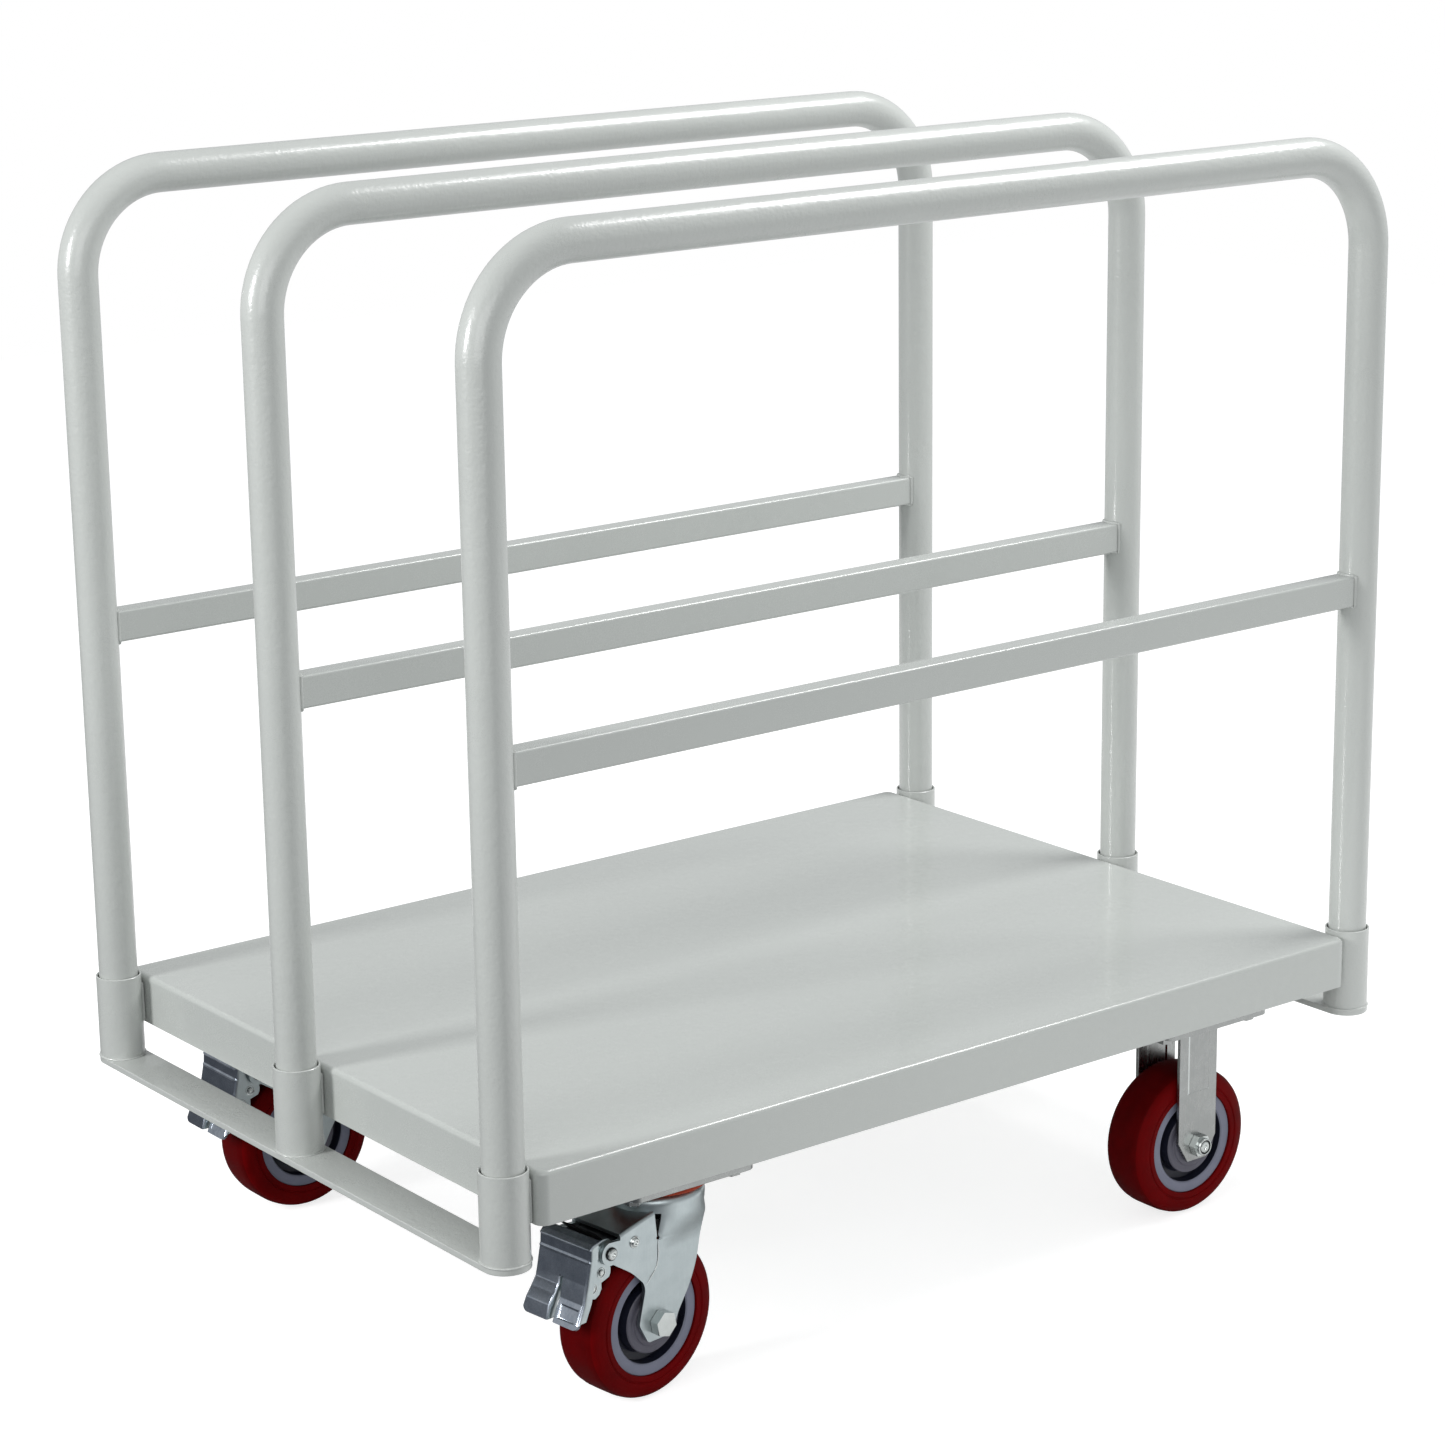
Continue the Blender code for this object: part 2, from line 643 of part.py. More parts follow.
def make_axle(label, holder):
    """Make the axle bolt, its lock nut and the sleeve that the wheel turns on."""
    reach = FORK_HALF_GAP - GAP
    ring("bearing_sleeve_" + label, SLEEVE_RADIUS - SLEEVE_WALL, SLEEVE_RADIUS, -reach, reach, ROUND_STEPS,
         holder, "steel", axis="Y")
    face = FORK_HALF_WIDTH + GAP
    head, nut_flats = across_flats(AXLE_HEAD_FLATS), across_flats(AXLE_NUT_FLATS)
    bolt = cylinder("axle_bolt_" + label, AXLE_RADIUS, -FORK_HALF_WIDTH - AXLE_TIP, face + AXLE_HEAD_HEIGHT / 2,
                    ROUND_STEPS, holder, "zinc", axis="Y")
    bolt_head = cylinder("axle_head_" + label, head, face, face + AXLE_HEAD_HEIGHT, HEX_STEPS, holder, axis="Y")
    join(bolt, bolt_head)
    nut_end = -face - AXLE_NUT_HEIGHT
    bore = AXLE_RADIUS + AXLE_HOLE_PLAY
    nut = cylinder("axle_nut_" + label, nut_flats, nut_end, -face, HEX_STEPS, holder, "zinc", axis="Y")
    collar = cylinder("axle_collar_" + label, AXLE_NUT_COLLAR_RADIUS, nut_end - AXLE_NUT_COLLAR,
                      nut_end + AXLE_NUT_HEIGHT / 2, SMALL_STEPS, holder, axis="Y")
    clear = cylinder("axle_nut_bore_" + label, bore, nut_end - OVERRUN, -face + OVERRUN, ROUND_STEPS,
                     holder, axis="Y")
    join(nut, collar)
    cut(nut, clear)


def make_plate(name, holder, finish="zinc"):
    """Make a caster's top plate with its four bolts and their nuts seated on it."""
    plate = outline_solid(name, rounded_rectangle(PLATE_LENGTH, PLATE_WIDTH, PLATE_CORNER_RADIUS, CORNER_STEPS),
                          PLATE_BOTTOM, PLATE_TOP, holder, finish, plane="XY")
    nut_low = PLATE_BOTTOM - BOLT_NUT_HEIGHT
    head_low = PLATE_TOP + GAP + CHANNEL_SHEET + GAP
    nut, head = across_flats(BOLT_HEAD_FLATS), across_flats(BOLT_HEAD_FLATS)
    stack = ((0, head_low + BOLT_HEAD_HEIGHT), (head, head_low + BOLT_HEAD_HEIGHT), (head, head_low),
             (BOLT_RADIUS, head_low), (BOLT_RADIUS, PLATE_BOTTOM + SEAT_OVERLAP),
             (nut, PLATE_BOTTOM + SEAT_OVERLAP), (nut, nut_low), (0, nut_low))
    for number, (x, y) in enumerate(bolt_places()):
        bolt = turned(f"{name}_bolt_{number}", stack, HEX_STEPS, holder)
        bolt.location = (x, y, 0)
        join(plate, bolt)
    return plate


def make_swivel_head(label, holder):
    """Make what stays with the deck above a swivel fork: race, seal ring and kingpin."""
    plate = make_plate("swivel_plate_" + label, holder)
    boss = cylinder("plate_boss_" + label, BOSS_RADIUS, PLATE_BOTTOM - BOSS_HEIGHT, PLATE_TOP - PLATE_THICKNESS / 2,
                    RING_STEPS, holder)
    pin_hole = cylinder("plate_pin_hole_" + label, KINGPIN_RADIUS + GAP, PLATE_BOTTOM - OVERRUN,
                        PLATE_TOP + OVERRUN, RING_STEPS, holder)
    join(plate, boss)
    cut(plate, pin_hole)
    ring("ball_race_" + label, RACE_INNER_RADIUS, RACE_OUTER_RADIUS, CROWN_TOP + GAP,
         PLATE_BOTTOM - BOSS_HEIGHT - GAP, RING_STEPS, holder, "steel")
    seal_low, seal_top = CROWN_TOP + GAP, PLATE_BOTTOM - GAP
    seal_inner = SEAL_RADIUS - SEAL_WALL
    section = ((SEAL_RADIUS - SEAL_LIP, seal_top), (SEAL_RADIUS, seal_low + SEAL_LIP),
               (SEAL_RADIUS - SEAL_LIP, seal_low), (seal_inner, seal_low), (seal_inner, seal_top))
    turned("seal_ring_" + label, section, RING_STEPS, holder, "seal", closed=True)
    crown_under = CROWN_TOP - FORK_SHEET
    pin_top = PLATE_TOP - KINGPIN_RECESS
    head_top = crown_under - GAP
    head_low = head_top - KINGPIN_HEAD_HEIGHT
    profile = ((0, pin_top), (KINGPIN_RADIUS, pin_top), (KINGPIN_RADIUS, head_top),
               (KINGPIN_HEAD_RADIUS, head_top), (KINGPIN_HEAD_RADIUS, head_low), (0, head_low))
    turned("kingpin_" + label, profile, ROUND_STEPS, holder, "steel")


def about_axle(radius, degrees):
    """Return a place in the swivel fork's side view, by distance and angle from its axle."""
    angle = math.radians(degrees)
    return (radius * math.cos(angle) - TRAIL, radius * math.sin(angle) + AXLE_Z)


def pedal_pin_place():
    """Return the pedal pin's place in the fork's side view."""
    return about_axle(WHEEL_RADIUS + PEDAL_PIN_STANDOFF, PEDAL_PIN_ANGLE)


def crown_levels():
    """Return the crown's outer rings from its flat top to its rim, as (radius, height)."""
    return ((CROWN_FLAT_RADIUS, CROWN_TOP), (CROWN_RADIUS, RIM_TOP), (CROWN_RIM_RADIUS, RIM_BOTTOM))


def along(points, height):
    """Return how far forward a side edge lies at a height, from its (forward, height) corners."""
    for (first, high), (second, low) in zip(points, points[1:]):
        if height >= low:
            return first + (second - first) * (high - height) / (high - low)
    return points[-1][0]


def settle(share):
    """Ease from one at share zero to zero at share one, level at both ends."""
    left = max(0.0, UNIT - share)
    return left * left * (UNIT + share + share)


def leg_front():
    """Return the front edge of a swivel leg, from the crown's rim down to its tip."""
    axle = -TRAIL
    return ((CROWN_RIM_RADIUS * math.cos(math.radians(LEG_RING_ANGLES[-1])), RIM_BOTTOM),
            (FORK_FRONT, CROWN_LOW - FORK_KNEE_DROP), (axle + FORK_WAIST_FRONT, AXLE_Z + FORK_WAIST_RISE),
            (axle + FORK_SHIN_FRONT, AXLE_Z + FORK_SHIN_RISE), (axle + LEG_HALF_WIDTH, AXLE_Z + LEG_SHOULDER_RISE),
            (axle + LEG_TIP_HALF_WIDTH, AXLE_Z - LEG_TIP_DROP))


def leg_back():
    """Return the back edge of a swivel fork's side, from the leg's tip up round the cheek to the roof."""
    axle = -TRAIL
    edge = [(axle - LEG_TIP_HALF_WIDTH, AXLE_Z - LEG_TIP_DROP), (axle - LEG_HALF_WIDTH, AXLE_Z + LEG_SHOULDER_RISE),
            (axle - LEG_BACK_HALF_WIDTH, AXLE_Z + LEG_BACK_RISE), (axle - ARCH_REACH, AXLE_Z + ARCH_RISE)]
    return edge + arc(pedal_pin_place(), CHEEK_LOBE_RADIUS, -80, -260, HEX_STEPS)


def flare_heights():
    """Return the heights of the rows between the crown's rim and the flat of a leg."""
    above = [RIM_BOTTOM + (NOTCH_FOOT - RIM_BOTTOM) * i / FLARE_ROWS for i in range(1, FLARE_ROWS + 1)]
    below = [NOTCH_FOOT + (FLARE_FOOT - NOTCH_FOOT) * i / FLARE_ROWS for i in range(1, FLARE_ROWS + 1)]
    return above + below


def flare_row(height, sign):
    """Return one row of a leg's flare, from its notch to its front edge."""
    drop = RIM_BOTTOM - height
    tops = [(CROWN_RIM_RADIUS * math.cos(math.radians(angle)), CROWN_RIM_RADIUS * math.sin(math.radians(angle)))
            for angle in LEG_RING_ANGLES]
    rear = along(((tops[0][0], RIM_BOTTOM), (-NOTCH_REACH, NOTCH_FOOT), (-NOTCH_REACH, FLARE_FOOT)), height)
    front = along(leg_front(), height)
    row = []
    for number, (forward, across) in enumerate(tops):
        share = (forward - tops[0][0]) / (tops[-1][0] - tops[0][0])
        foot = NOTCH_FOOT if number == 0 else FLARE_FOOT
        bulge = (across - FORK_HALF_WIDTH) * settle(drop / (RIM_BOTTOM - foot))
        row.append((rear + (front - rear) * share, sign * (FORK_HALF_WIDTH + bulge), height))
    return row


def fork_side(bm, ring, sign):
    """Add one side of a swivel fork under the crown's rim, and return its two roof corners."""
    picked = [min(ring, key=lambda vert, a=angle: (vert.co - Vector(
        (CROWN_RIM_RADIUS * math.cos(math.radians(a)), sign * CROWN_RIM_RADIUS * math.sin(math.radians(a)),
         RIM_BOTTOM))).length) for angle in LEG_RING_ANGLES]
    rows = [picked] + [[bm.verts.new(point) for point in flare_row(height, sign)] for height in flare_heights()]
    for upper, lower in zip(rows, rows[1:]):
        for i in range(len(upper) - 1):
            bm.faces.new((upper[i], lower[i], lower[i + 1], upper[i + 1]))
    roof = ((-ROOF_REACH, ROOF_REAR - CHEEK_STEP_DROP), (-ROOF_REACH, ROOF_REAR), (-ROOF_FRONT, ROOF_TOP))
    front = [point for point in leg_front() if point[1] < FLARE_FOOT - MERGE_DISTANCE]
    edge = [bm.verts.new((x, sign * FORK_HALF_WIDTH, z)) for x, z in front + leg_back() + list(roof)]
    notch = [row[0] for row in rows[FLARE_ROWS:-1]]
    bm.faces.new(edge + notch + rows[-1])
    return edge[-2], edge[-1]


def make_swivel_fork(label, holder):
    """Press the swivel fork from one sheet: a round crown that flares into two legs, and a roof."""
    bm = bmesh.new()
    rings = [[bm.verts.new((radius * math.cos(math.radians(CROWN_START_ANGLE + i * 360 / CROWN_STEPS)),
                            radius * math.sin(math.radians(CROWN_START_ANGLE + i * 360 / CROWN_STEPS)), height))
              for i in range(CROWN_STEPS)] for radius, height in crown_levels()]
    bm.faces.new(rings[0])
    for upper, lower in zip(rings, rings[1:]):
        for i in range(CROWN_STEPS):
            bm.faces.new((upper[i - 1], lower[i - 1], lower[i], upper[i]))
    near_rear, near_front = fork_side(bm, rings[-1], -1)
    far_rear, far_front = fork_side(bm, rings[-1], 1)
    bm.faces.new((near_rear, near_front, far_front, far_rear))
    bmesh.ops.recalc_face_normals(bm, faces=bm.faces)
    crown = max(bm.faces, key=lambda face: face.calc_center_median().z)
    if crown.normal.z < 0:
        bmesh.ops.reverse_faces(bm, faces=bm.faces)
    bends = [edge for edge in bm.edges if set(edge.verts) in ({near_rear, near_front}, {far_rear, far_front})]
    bmesh.ops.bevel(bm, geom=bends, offset=ROOF_BEND, segments=EDGE_STEPS, profile=0.5, affect="EDGES",
                    material=-1)
    fork = add_object("swivel_fork_" + label, as_mesh(bm, "swivel_fork_" + label), holder, "zinc")
    sheet = fork.modifiers.new("sheet", "SOLIDIFY")
    sheet.thickness = FORK_SHEET
    sheet.offset = -1
    sheet.use_even_offset = True
    pierce_fork(fork, label, holder)
    stop_pin = rivet("fork_stop_pin_" + label, holder)
    stop_pin.location = (-STOP_PIN_REACH, 0, AXLE_Z + STOP_PIN_RISE)
    join(fork, stop_pin)


def pierce_fork(fork, label, holder):
    """Cut a swivel fork's holes: axle, pedal pin, kingpin and the relief holes of its notches."""
    reach = FORK_HALF_WIDTH + OVERRUN
    crossings = {"axle": (AXLE_RADIUS + AXLE_HOLE_PLAY, (-TRAIL, AXLE_Z), ROUND_STEPS),
                 "pedal": (PEDAL_PIN_RADIUS + PEDAL_PIN_PLAY, pedal_pin_place(), ROUND_STEPS),
                 "relief": (RELIEF_RADIUS, (-NOTCH_REACH, NOTCH_FOOT), SMALL_STEPS)}
    for kind, (radius, (x, z), steps) in crossings.items():
        hole = cylinder(f"fork_{kind}_hole_{label}", radius, -reach, reach, steps, holder, axis="Y")
        hole.location = (x, 0, z)
        cut(fork, hole)
    cut(fork, cylinder("fork_king_hole_" + label, around_facets(KINGPIN_RADIUS + KINGPIN_PLAY, ROUND_STEPS),
                       CROWN_LOW - OVERRUN, CROWN_TOP + OVERRUN, ROUND_STEPS, holder))


def rivet(name, holder):
    """Return the rivet that crosses a swivel fork, with a round head on each side."""
    half, seat = FORK_HALF_WIDTH, FORK_HALF_WIDTH - FORK_SHEET / 2
    profile = ((0, half + STOP_PIN_HEAD_HEIGHT), (STOP_PIN_HEAD_RADIUS, half + STOP_PIN_HEAD_HEIGHT / 2),
               (STOP_PIN_HEAD_RADIUS, seat), (STOP_PIN_RADIUS, seat), (STOP_PIN_RADIUS, -seat),
               (STOP_PIN_HEAD_RADIUS, -seat), (STOP_PIN_HEAD_RADIUS, -half - STOP_PIN_HEAD_HEIGHT / 2),
               (0, -half - STOP_PIN_HEAD_HEIGHT))
    return turned(name, profile, SMALL_STEPS, holder, axis="Y")


def in_pedal_frame(point):
    """Return a place of the fork's side view measured from the pedal pin."""
    pin = pedal_pin_place()
    return (point[0] - pin[0], point[1] - pin[1])


def from_shares(shares):
    """Return pedal places, from shares of the pedal's drop below its pin."""
    return [(x * PEDAL_DROP, z * PEDAL_DROP) for x, z in shares]


def make_pedal(label, holder):
    """Stamp the pedal: a ribbed face that ends in two leaves, with both sides turned back."""
    upper = from_shares(PEDAL_FACE_SHARES)
    left = from_shares(PEDAL_LEFT_LEAF_SHARES)
    right = from_shares(PEDAL_RIGHT_LEAF_SHARES)
    half, slot = PEDAL_WIDTH / 2, PEDAL_SLOT_WIDTH / 2
    columns = (-half, -slot, slot, half)
    bm = bmesh.new()
    grid = []
    for y in columns:
        leaf = right if y < 0 else left
        grid.append([bm.verts.new((x, y, z)) for x, z in upper + leaf])
    rows = len(upper)
    for column, (first, second) in enumerate(zip(grid, grid[1:])):
        last = rows - 1 if column == 1 else len(first) - 1
        for row in range(last):
            bm.faces.new((first[row], first[row + 1], second[row + 1], second[row]))
    bmesh.ops.recalc_face_normals(bm, faces=bm.faces)
    face = min(bm.faces, key=lambda item: item.calc_center_median().x)
    if face.normal.x > 0:
        bmesh.ops.reverse_faces(bm, faces=bm.faces)
    sides = [edge for edge in bm.edges if all(abs(abs(vert.co.y) - half) < MERGE_DISTANCE for vert in edge.verts)]
    pad = [item for item in bm.faces if item.calc_center_median().y < -slot
           and item.calc_center_median().z < upper[-1][1] + (right[1][1] - right[0][1]) / 2]
    pad = [max(pad, key=lambda item: item.calc_area())]
    turned_back = bmesh.ops.extrude_edge_only(bm, edges=sides)
    flange = [item for item in turned_back["geom"] if isinstance(item, bmesh.types.BMVert)]
    bmesh.ops.translate(bm, vec=(PEDAL_FLANGE, 0, 0), verts=flange)
    bmesh.ops.inset_individual(bm, faces=pad, thickness=PEDAL_PAD_BORDER, depth=PEDAL_PAD_RISE,
                               use_even_offset=True)
    bends = [edge for edge in sides if edge.is_valid]
    bmesh.ops.bevel(bm, geom=bends, offset=PEDAL_BEND, segments=EDGE_STEPS, profile=0.5, affect="EDGES",
                    material=-1)
    bmesh.ops.recalc_face_normals(bm, faces=bm.faces)
    face = min(bm.faces, key=lambda item: item.calc_center_median().x)
    if face.normal.x > 0:
        bmesh.ops.reverse_faces(bm, faces=bm.faces)
    pedal = add_object("brake_pedal_" + label, as_mesh(bm, "brake_pedal_" + label), holder, "dark_zinc")
    sheet = pedal.modifiers.new("sheet", "SOLIDIFY")
    sheet.thickness = PEDAL_SHEET
    sheet.offset = -1
    sheet.use_even_offset = True


def make_brake_link(label, holder):
    """Make the link behind the pedal: a web, two ears round its pins, and two cross pins."""
    outer = FORK_HALF_GAP - GAP
    inner = outer - LINK_SHEET
    pins = [in_pedal_frame(about_axle(WHEEL_RADIUS + LINK_PIN_STANDOFF, angle)) for angle in LINK_PIN_ANGLES]
    web = from_shares(LINK_WEB_SHARES)
    top = (web[0][0] + LINK_TOP_SHARE * PEDAL_DROP, web[0][1] - LINK_SHEET / 2)
    foot = from_shares((LINK_FOOT_SHARES,))
    outline = (web[::-1] + [top] + arc((0, 0), LINK_PIVOT_LOBE, 60, -50, ARC_STEPS)
               + arc(pins[0], LINK_UPPER_LOBE, 25, -35, CORNER_STEPS)
               + arc(pins[1], LINK_LOWER_LOBE, 15, -75, CORNER_STEPS) + foot)
    link = outline_solid("brake_link_" + label, outline, -outer, outer, holder, "zinc")
    back = [(x + LINK_SHEET, z) for x, z in web]
    reach = LINK_PIVOT_LOBE + OVERRUN
    low, high = back[-1][1] - OVERRUN - OVERRUN, back[0][1] + OVERRUN
    cavity = back[::-1] + [(back[0][0], high), (reach, high), (reach, low), (back[-1][0], low)]
    cut(link, outline_solid("link_cavity_" + label, cavity, -inner, inner, holder))
    pivot = cylinder("link_pivot_hole_" + label, PEDAL_PIN_RADIUS + PEDAL_PIN_PLAY, -outer - OVERRUN,
                     outer + OVERRUN, ROUND_STEPS, holder, axis="Y")
    cut(link, pivot)
    for number, (x, z) in enumerate(pins):
        pin = cylinder(f"link_pin_{label}_{number}", LINK_PIN_RADIUS, -outer + LINK_SHEET / 2,
                       outer - LINK_SHEET / 2, SMALL_STEPS, holder, axis="Y")
        pin.location = (x, 0, z)
        join(link, pin)


def make_brake_shoe(label, holder):
    """Make the shoe: its face fits the tread when the pedal is pressed, and is shown let up."""
    locked = around_facets(WHEEL_RADIUS, WHEEL_STEPS) + SHOE_LOCKED_GAP
    outer = WHEEL_RADIUS + LINK_PIN_STANDOFF - LINK_PIN_RADIUS - GAP
    axle = in_pedal_frame(about_axle(0, 0))
    first, last = SHOE_ANGLES
    let_up = Matrix.Rotation(math.radians(-PRESS_ANGLE), 2)
    face = [tuple(let_up @ Vector(point)) for point in arc(axle, locked, last, first, HEX_STEPS)]
    outline = arc(axle, outer, first, last, HEX_STEPS) + face
    outline_solid("brake_shoe_" + label, outline, -SHOE_WIDTH / 2, SHOE_WIDTH / 2, holder, "brake_rubber")


def make_pedal_pin(label, holder):
    """Make the riveted pin that the pedal turns on, through both cheeks of the fork."""
    half = FORK_HALF_WIDTH + GAP
    tip, rim = half + PEDAL_PIN_HEAD_HEIGHT, half + PEDAL_PIN_HEAD_HEIGHT / 2
    profile = ((0, tip), (PEDAL_PIN_HEAD_RADIUS, rim), (PEDAL_PIN_HEAD_RADIUS, half), (PEDAL_PIN_RADIUS, half),
               (PEDAL_PIN_RADIUS, -half), (PEDAL_PIN_HEAD_RADIUS, -half), (PEDAL_PIN_HEAD_RADIUS, -rim), (0, -tip))
    turned("pedal_pin_" + label, profile, ROUND_STEPS, holder, "zinc", axis="Y")


def make_swivel_caster(side, sign):
    """Build one braked swivel caster under the deck's swivel end."""
    label = "swivel_" + side
    place = (-CASTER_X, sign * CASTER_Y, 0)
    base = add_empty("caster_base_" + label, place)
    turn = add_empty("caster_turn_" + label, (0, 0, 0), base, SWIVEL_HEADINGS[side])
    spin = add_empty("wheel_spin_" + label, (-TRAIL, 0, AXLE_Z), turn)
    pin = pedal_pin_place()
    press = add_empty("pedal_press_" + label, (pin[0], 0, pin[1]), turn)
    make_swivel_head(side, base)
    make_swivel_fork(side, turn)
    make_wheel(label, spin)
    make_axle(label, spin)
    make_pedal(side, press)
    make_brake_link(side, press)
    make_brake_shoe(side, press)
    make_pedal_pin(side, press)


def yoke_outline():
    """Return one leg of the rigid yoke from the side, from the plate down to its tip."""
    top = PLATE_BOTTOM - GAP
    half, tip = YOKE_HALF_WIDTH, YOKE_TIP_HALF_WIDTH
    shoulder, foot = AXLE_Z + YOKE_SHOULDER_RISE, AXLE_Z - YOKE_TIP_DROP
    return [(half, top), (half, shoulder), (tip, foot), (-tip, foot), (-half, shoulder), (-half, top)]


def make_rigid_yoke(label, holder):
    """Fold the rigid yoke: two straight legs under a web, each leg with a sunk panel."""
    yoke = outline_solid("rigid_yoke_" + label, yoke_outline(), -FORK_HALF_WIDTH, FORK_HALF_WIDTH, holder, "zinc")
    bm = bmesh.new()
    bm.from_mesh(yoke.data)
    top = PLATE_BOTTOM - GAP - MERGE_DISTANCE
    bends = [edge for edge in bm.edges if all(vert.co.z > top for vert in edge.verts)
             and abs(edge.verts[0].co.y - edge.verts[1].co.y) < MERGE_DISTANCE]
    bmesh.ops.bevel(bm, geom=bends, offset=YOKE_BEND, segments=EDGE_STEPS, profile=0.5, affect="EDGES",
                    material=-1)
    bm.to_mesh(yoke.data)
    bm.free()
    reach = YOKE_HALF_WIDTH + OVERRUN
    web_under = PLATE_BOTTOM - GAP - FORK_SHEET
    cut(yoke, box("yoke_cavity_" + label, (-reach, -FORK_HALF_GAP, -OVERRUN), (reach, FORK_HALF_GAP, web_under),
                  holder))
    axle_hole = cylinder("yoke_axle_hole_" + label, AXLE_RADIUS + AXLE_HOLE_PLAY, -FORK_HALF_WIDTH - OVERRUN,
                         FORK_HALF_WIDTH + OVERRUN, ROUND_STEPS, holder, axis="Y")
    axle_hole.location.z = AXLE_Z
    cut(yoke, axle_hole)
    panel_low, panel_high = AXLE_Z + YOKE_PANEL_RISE, PLATE_BOTTOM - YOKE_PANEL_TOP_DROP
    panel_half = YOKE_PANEL_WIDTH / 2
    for side, sign in SIDES.items():
        faces = sorted((sign * (FORK_HALF_WIDTH - YOKE_PANEL_DEPTH), sign * (FORK_HALF_WIDTH + OVERRUN)))
        cut(yoke, box(f"yoke_panel_{label}_{side}", (-panel_half, faces[0], panel_low),
                      (panel_half, faces[1], panel_high), holder))


def make_rigid_caster(side, sign):
    """Build one rigid caster under the deck's rigid end."""
    label = "rigid_" + side
    base = add_empty("caster_base_" + label, (CASTER_X, sign * CASTER_Y, 0))
    spin = add_empty("wheel_spin_" + label, (0, 0, AXLE_Z), base)
    make_plate("rigid_plate_" + side, base)
    make_rigid_yoke(side, base)
    make_wheel(label, spin)
    make_axle(label, add_empty("axle_turned_" + label, (0, 0, 0), spin, RIGID_AXLE_HEADING))


def build():
    """Build the whole cart."""
    make_deck_pan()
    make_stiffener()
    for end, sign in ENDS.items():
        make_cross_channel(end, sign)
        make_tie_bar(end, sign)
        for hoop, hoop_sign in HOOPS.items():
            make_socket(end, sign, hoop, hoop_sign)
    for hoop, sign in HOOPS.items():
        make_hoop(hoop, sign)
    for side, sign in SIDES.items():
        make_swivel_caster(side, sign)
        make_rigid_caster(side, sign)


clear_scene()
PARTS = new_collection("panel_cart")
CUTTERS = new_collection("cutters")
build()
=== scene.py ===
"""Looks of the panel cart: fine surfaces, finishes, floor, lights and the photograph's camera.

Metres, +Z up, in the cart's own frame: +X runs to the rigid casters and +Y to the cart's
left side. Each sub-assembly is a class that holds its sizes, builds its pieces and dresses them.
"""

import logging
import math
from collections.abc import Iterable, Sequence
from dataclasses import dataclass
from enum import Enum
from typing import Any

import bmesh
import bpy
from mathutils import Matrix, Vector


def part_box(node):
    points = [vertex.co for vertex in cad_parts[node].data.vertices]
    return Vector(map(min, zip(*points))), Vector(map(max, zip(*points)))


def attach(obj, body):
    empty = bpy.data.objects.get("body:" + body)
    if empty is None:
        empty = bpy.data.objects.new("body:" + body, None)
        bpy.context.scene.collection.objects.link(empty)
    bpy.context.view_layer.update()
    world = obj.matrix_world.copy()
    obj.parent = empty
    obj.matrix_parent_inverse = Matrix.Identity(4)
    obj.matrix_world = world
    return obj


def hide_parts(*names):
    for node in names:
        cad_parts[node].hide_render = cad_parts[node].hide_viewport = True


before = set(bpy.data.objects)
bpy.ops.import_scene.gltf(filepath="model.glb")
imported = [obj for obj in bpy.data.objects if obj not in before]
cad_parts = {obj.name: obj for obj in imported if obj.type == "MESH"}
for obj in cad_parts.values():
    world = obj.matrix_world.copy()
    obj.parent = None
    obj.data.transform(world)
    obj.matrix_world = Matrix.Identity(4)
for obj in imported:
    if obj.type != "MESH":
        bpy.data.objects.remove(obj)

Point = tuple[float, float]
Triple = tuple[float, float, float]
Colour = Triple
Verts = list[bmesh.types.BMVert]
Edges = list[bmesh.types.BMEdge]

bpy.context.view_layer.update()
MERGE = 1e-6
X, Y, Z = range(3)
UP, REARWARD = (0, 0, 1), (-1, 0, 0)

# Sizes that the parts of a caster share; places are (forward, height) from the kingpin's axis.
HALF_FORK = 0.0265
SEAT = HALF_FORK + 0.0003
FORK_SHEET = 0.0035
AXLE_HEIGHT = 0.0635
TRAIL = 0.024
PEDAL_PIN: Point = (-0.0715, 0.1326)
OVER = Matrix.Rotation(math.pi, 4, "X")

log = logging.getLogger("panel_cart")


class Direction(Enum):
    """A side, an end or a row of the cart, valued by its direction along one axis."""

    @property
    def word(self) -> str:
        """Return its name as the nodes spell it."""
        return self.name.lower()


class Side(Direction):
    """The cart's two long sides, along Y."""

    LEFT = 1
    RIGHT = -1


class End(Direction):
    """The cart's two short ends, along X."""

    SWIVEL = -1
    RIGID = 1

    @property
    def word(self) -> str:
        """Return the end's name as the nodes spell it."""
        return self.name.lower() + "_end"


class Row(Direction):
    """The three hoops across the deck, along Y."""

    LEFT = 1
    MIDDLE = 0
    RIGHT = -1


# Materials


class Signal:
    """The value on one output socket; arithmetic on it adds Math nodes to its tree."""

    def __init__(self, tree: bpy.types.NodeTree, socket: bpy.types.NodeSocket) -> None:
        """Wrap a socket.

        Args:
            tree: The node tree that the socket belongs to.
            socket: The output socket.
        """
        self.tree = tree
        self.socket = socket

    def _math(self, operation: str, other: "Signal | float") -> "Signal":
        """Add one Math node that reads this value first.

        Args:
            operation: The node's operation.
            other: Its second input.

        Returns:
            The node's result.
        """
        node = self.tree.nodes.new("ShaderNodeMath")
        node.operation = operation
        for socket, value in zip(node.inputs, (self, other)):
            if isinstance(value, Signal):
                self.tree.links.new(value.socket, socket)
            else:
                socket.default_value = value
        return Signal(self.tree, node.outputs[0])

    def __add__(self, other: "Signal | float") -> "Signal":
        """Return the sum."""
        return self._math("ADD", other)

    def __mul__(self, other: "Signal | float") -> "Signal":
        """Return the product."""
        return self._math("MULTIPLY", other)

    __radd__ = __add__
    __rmul__ = __mul__


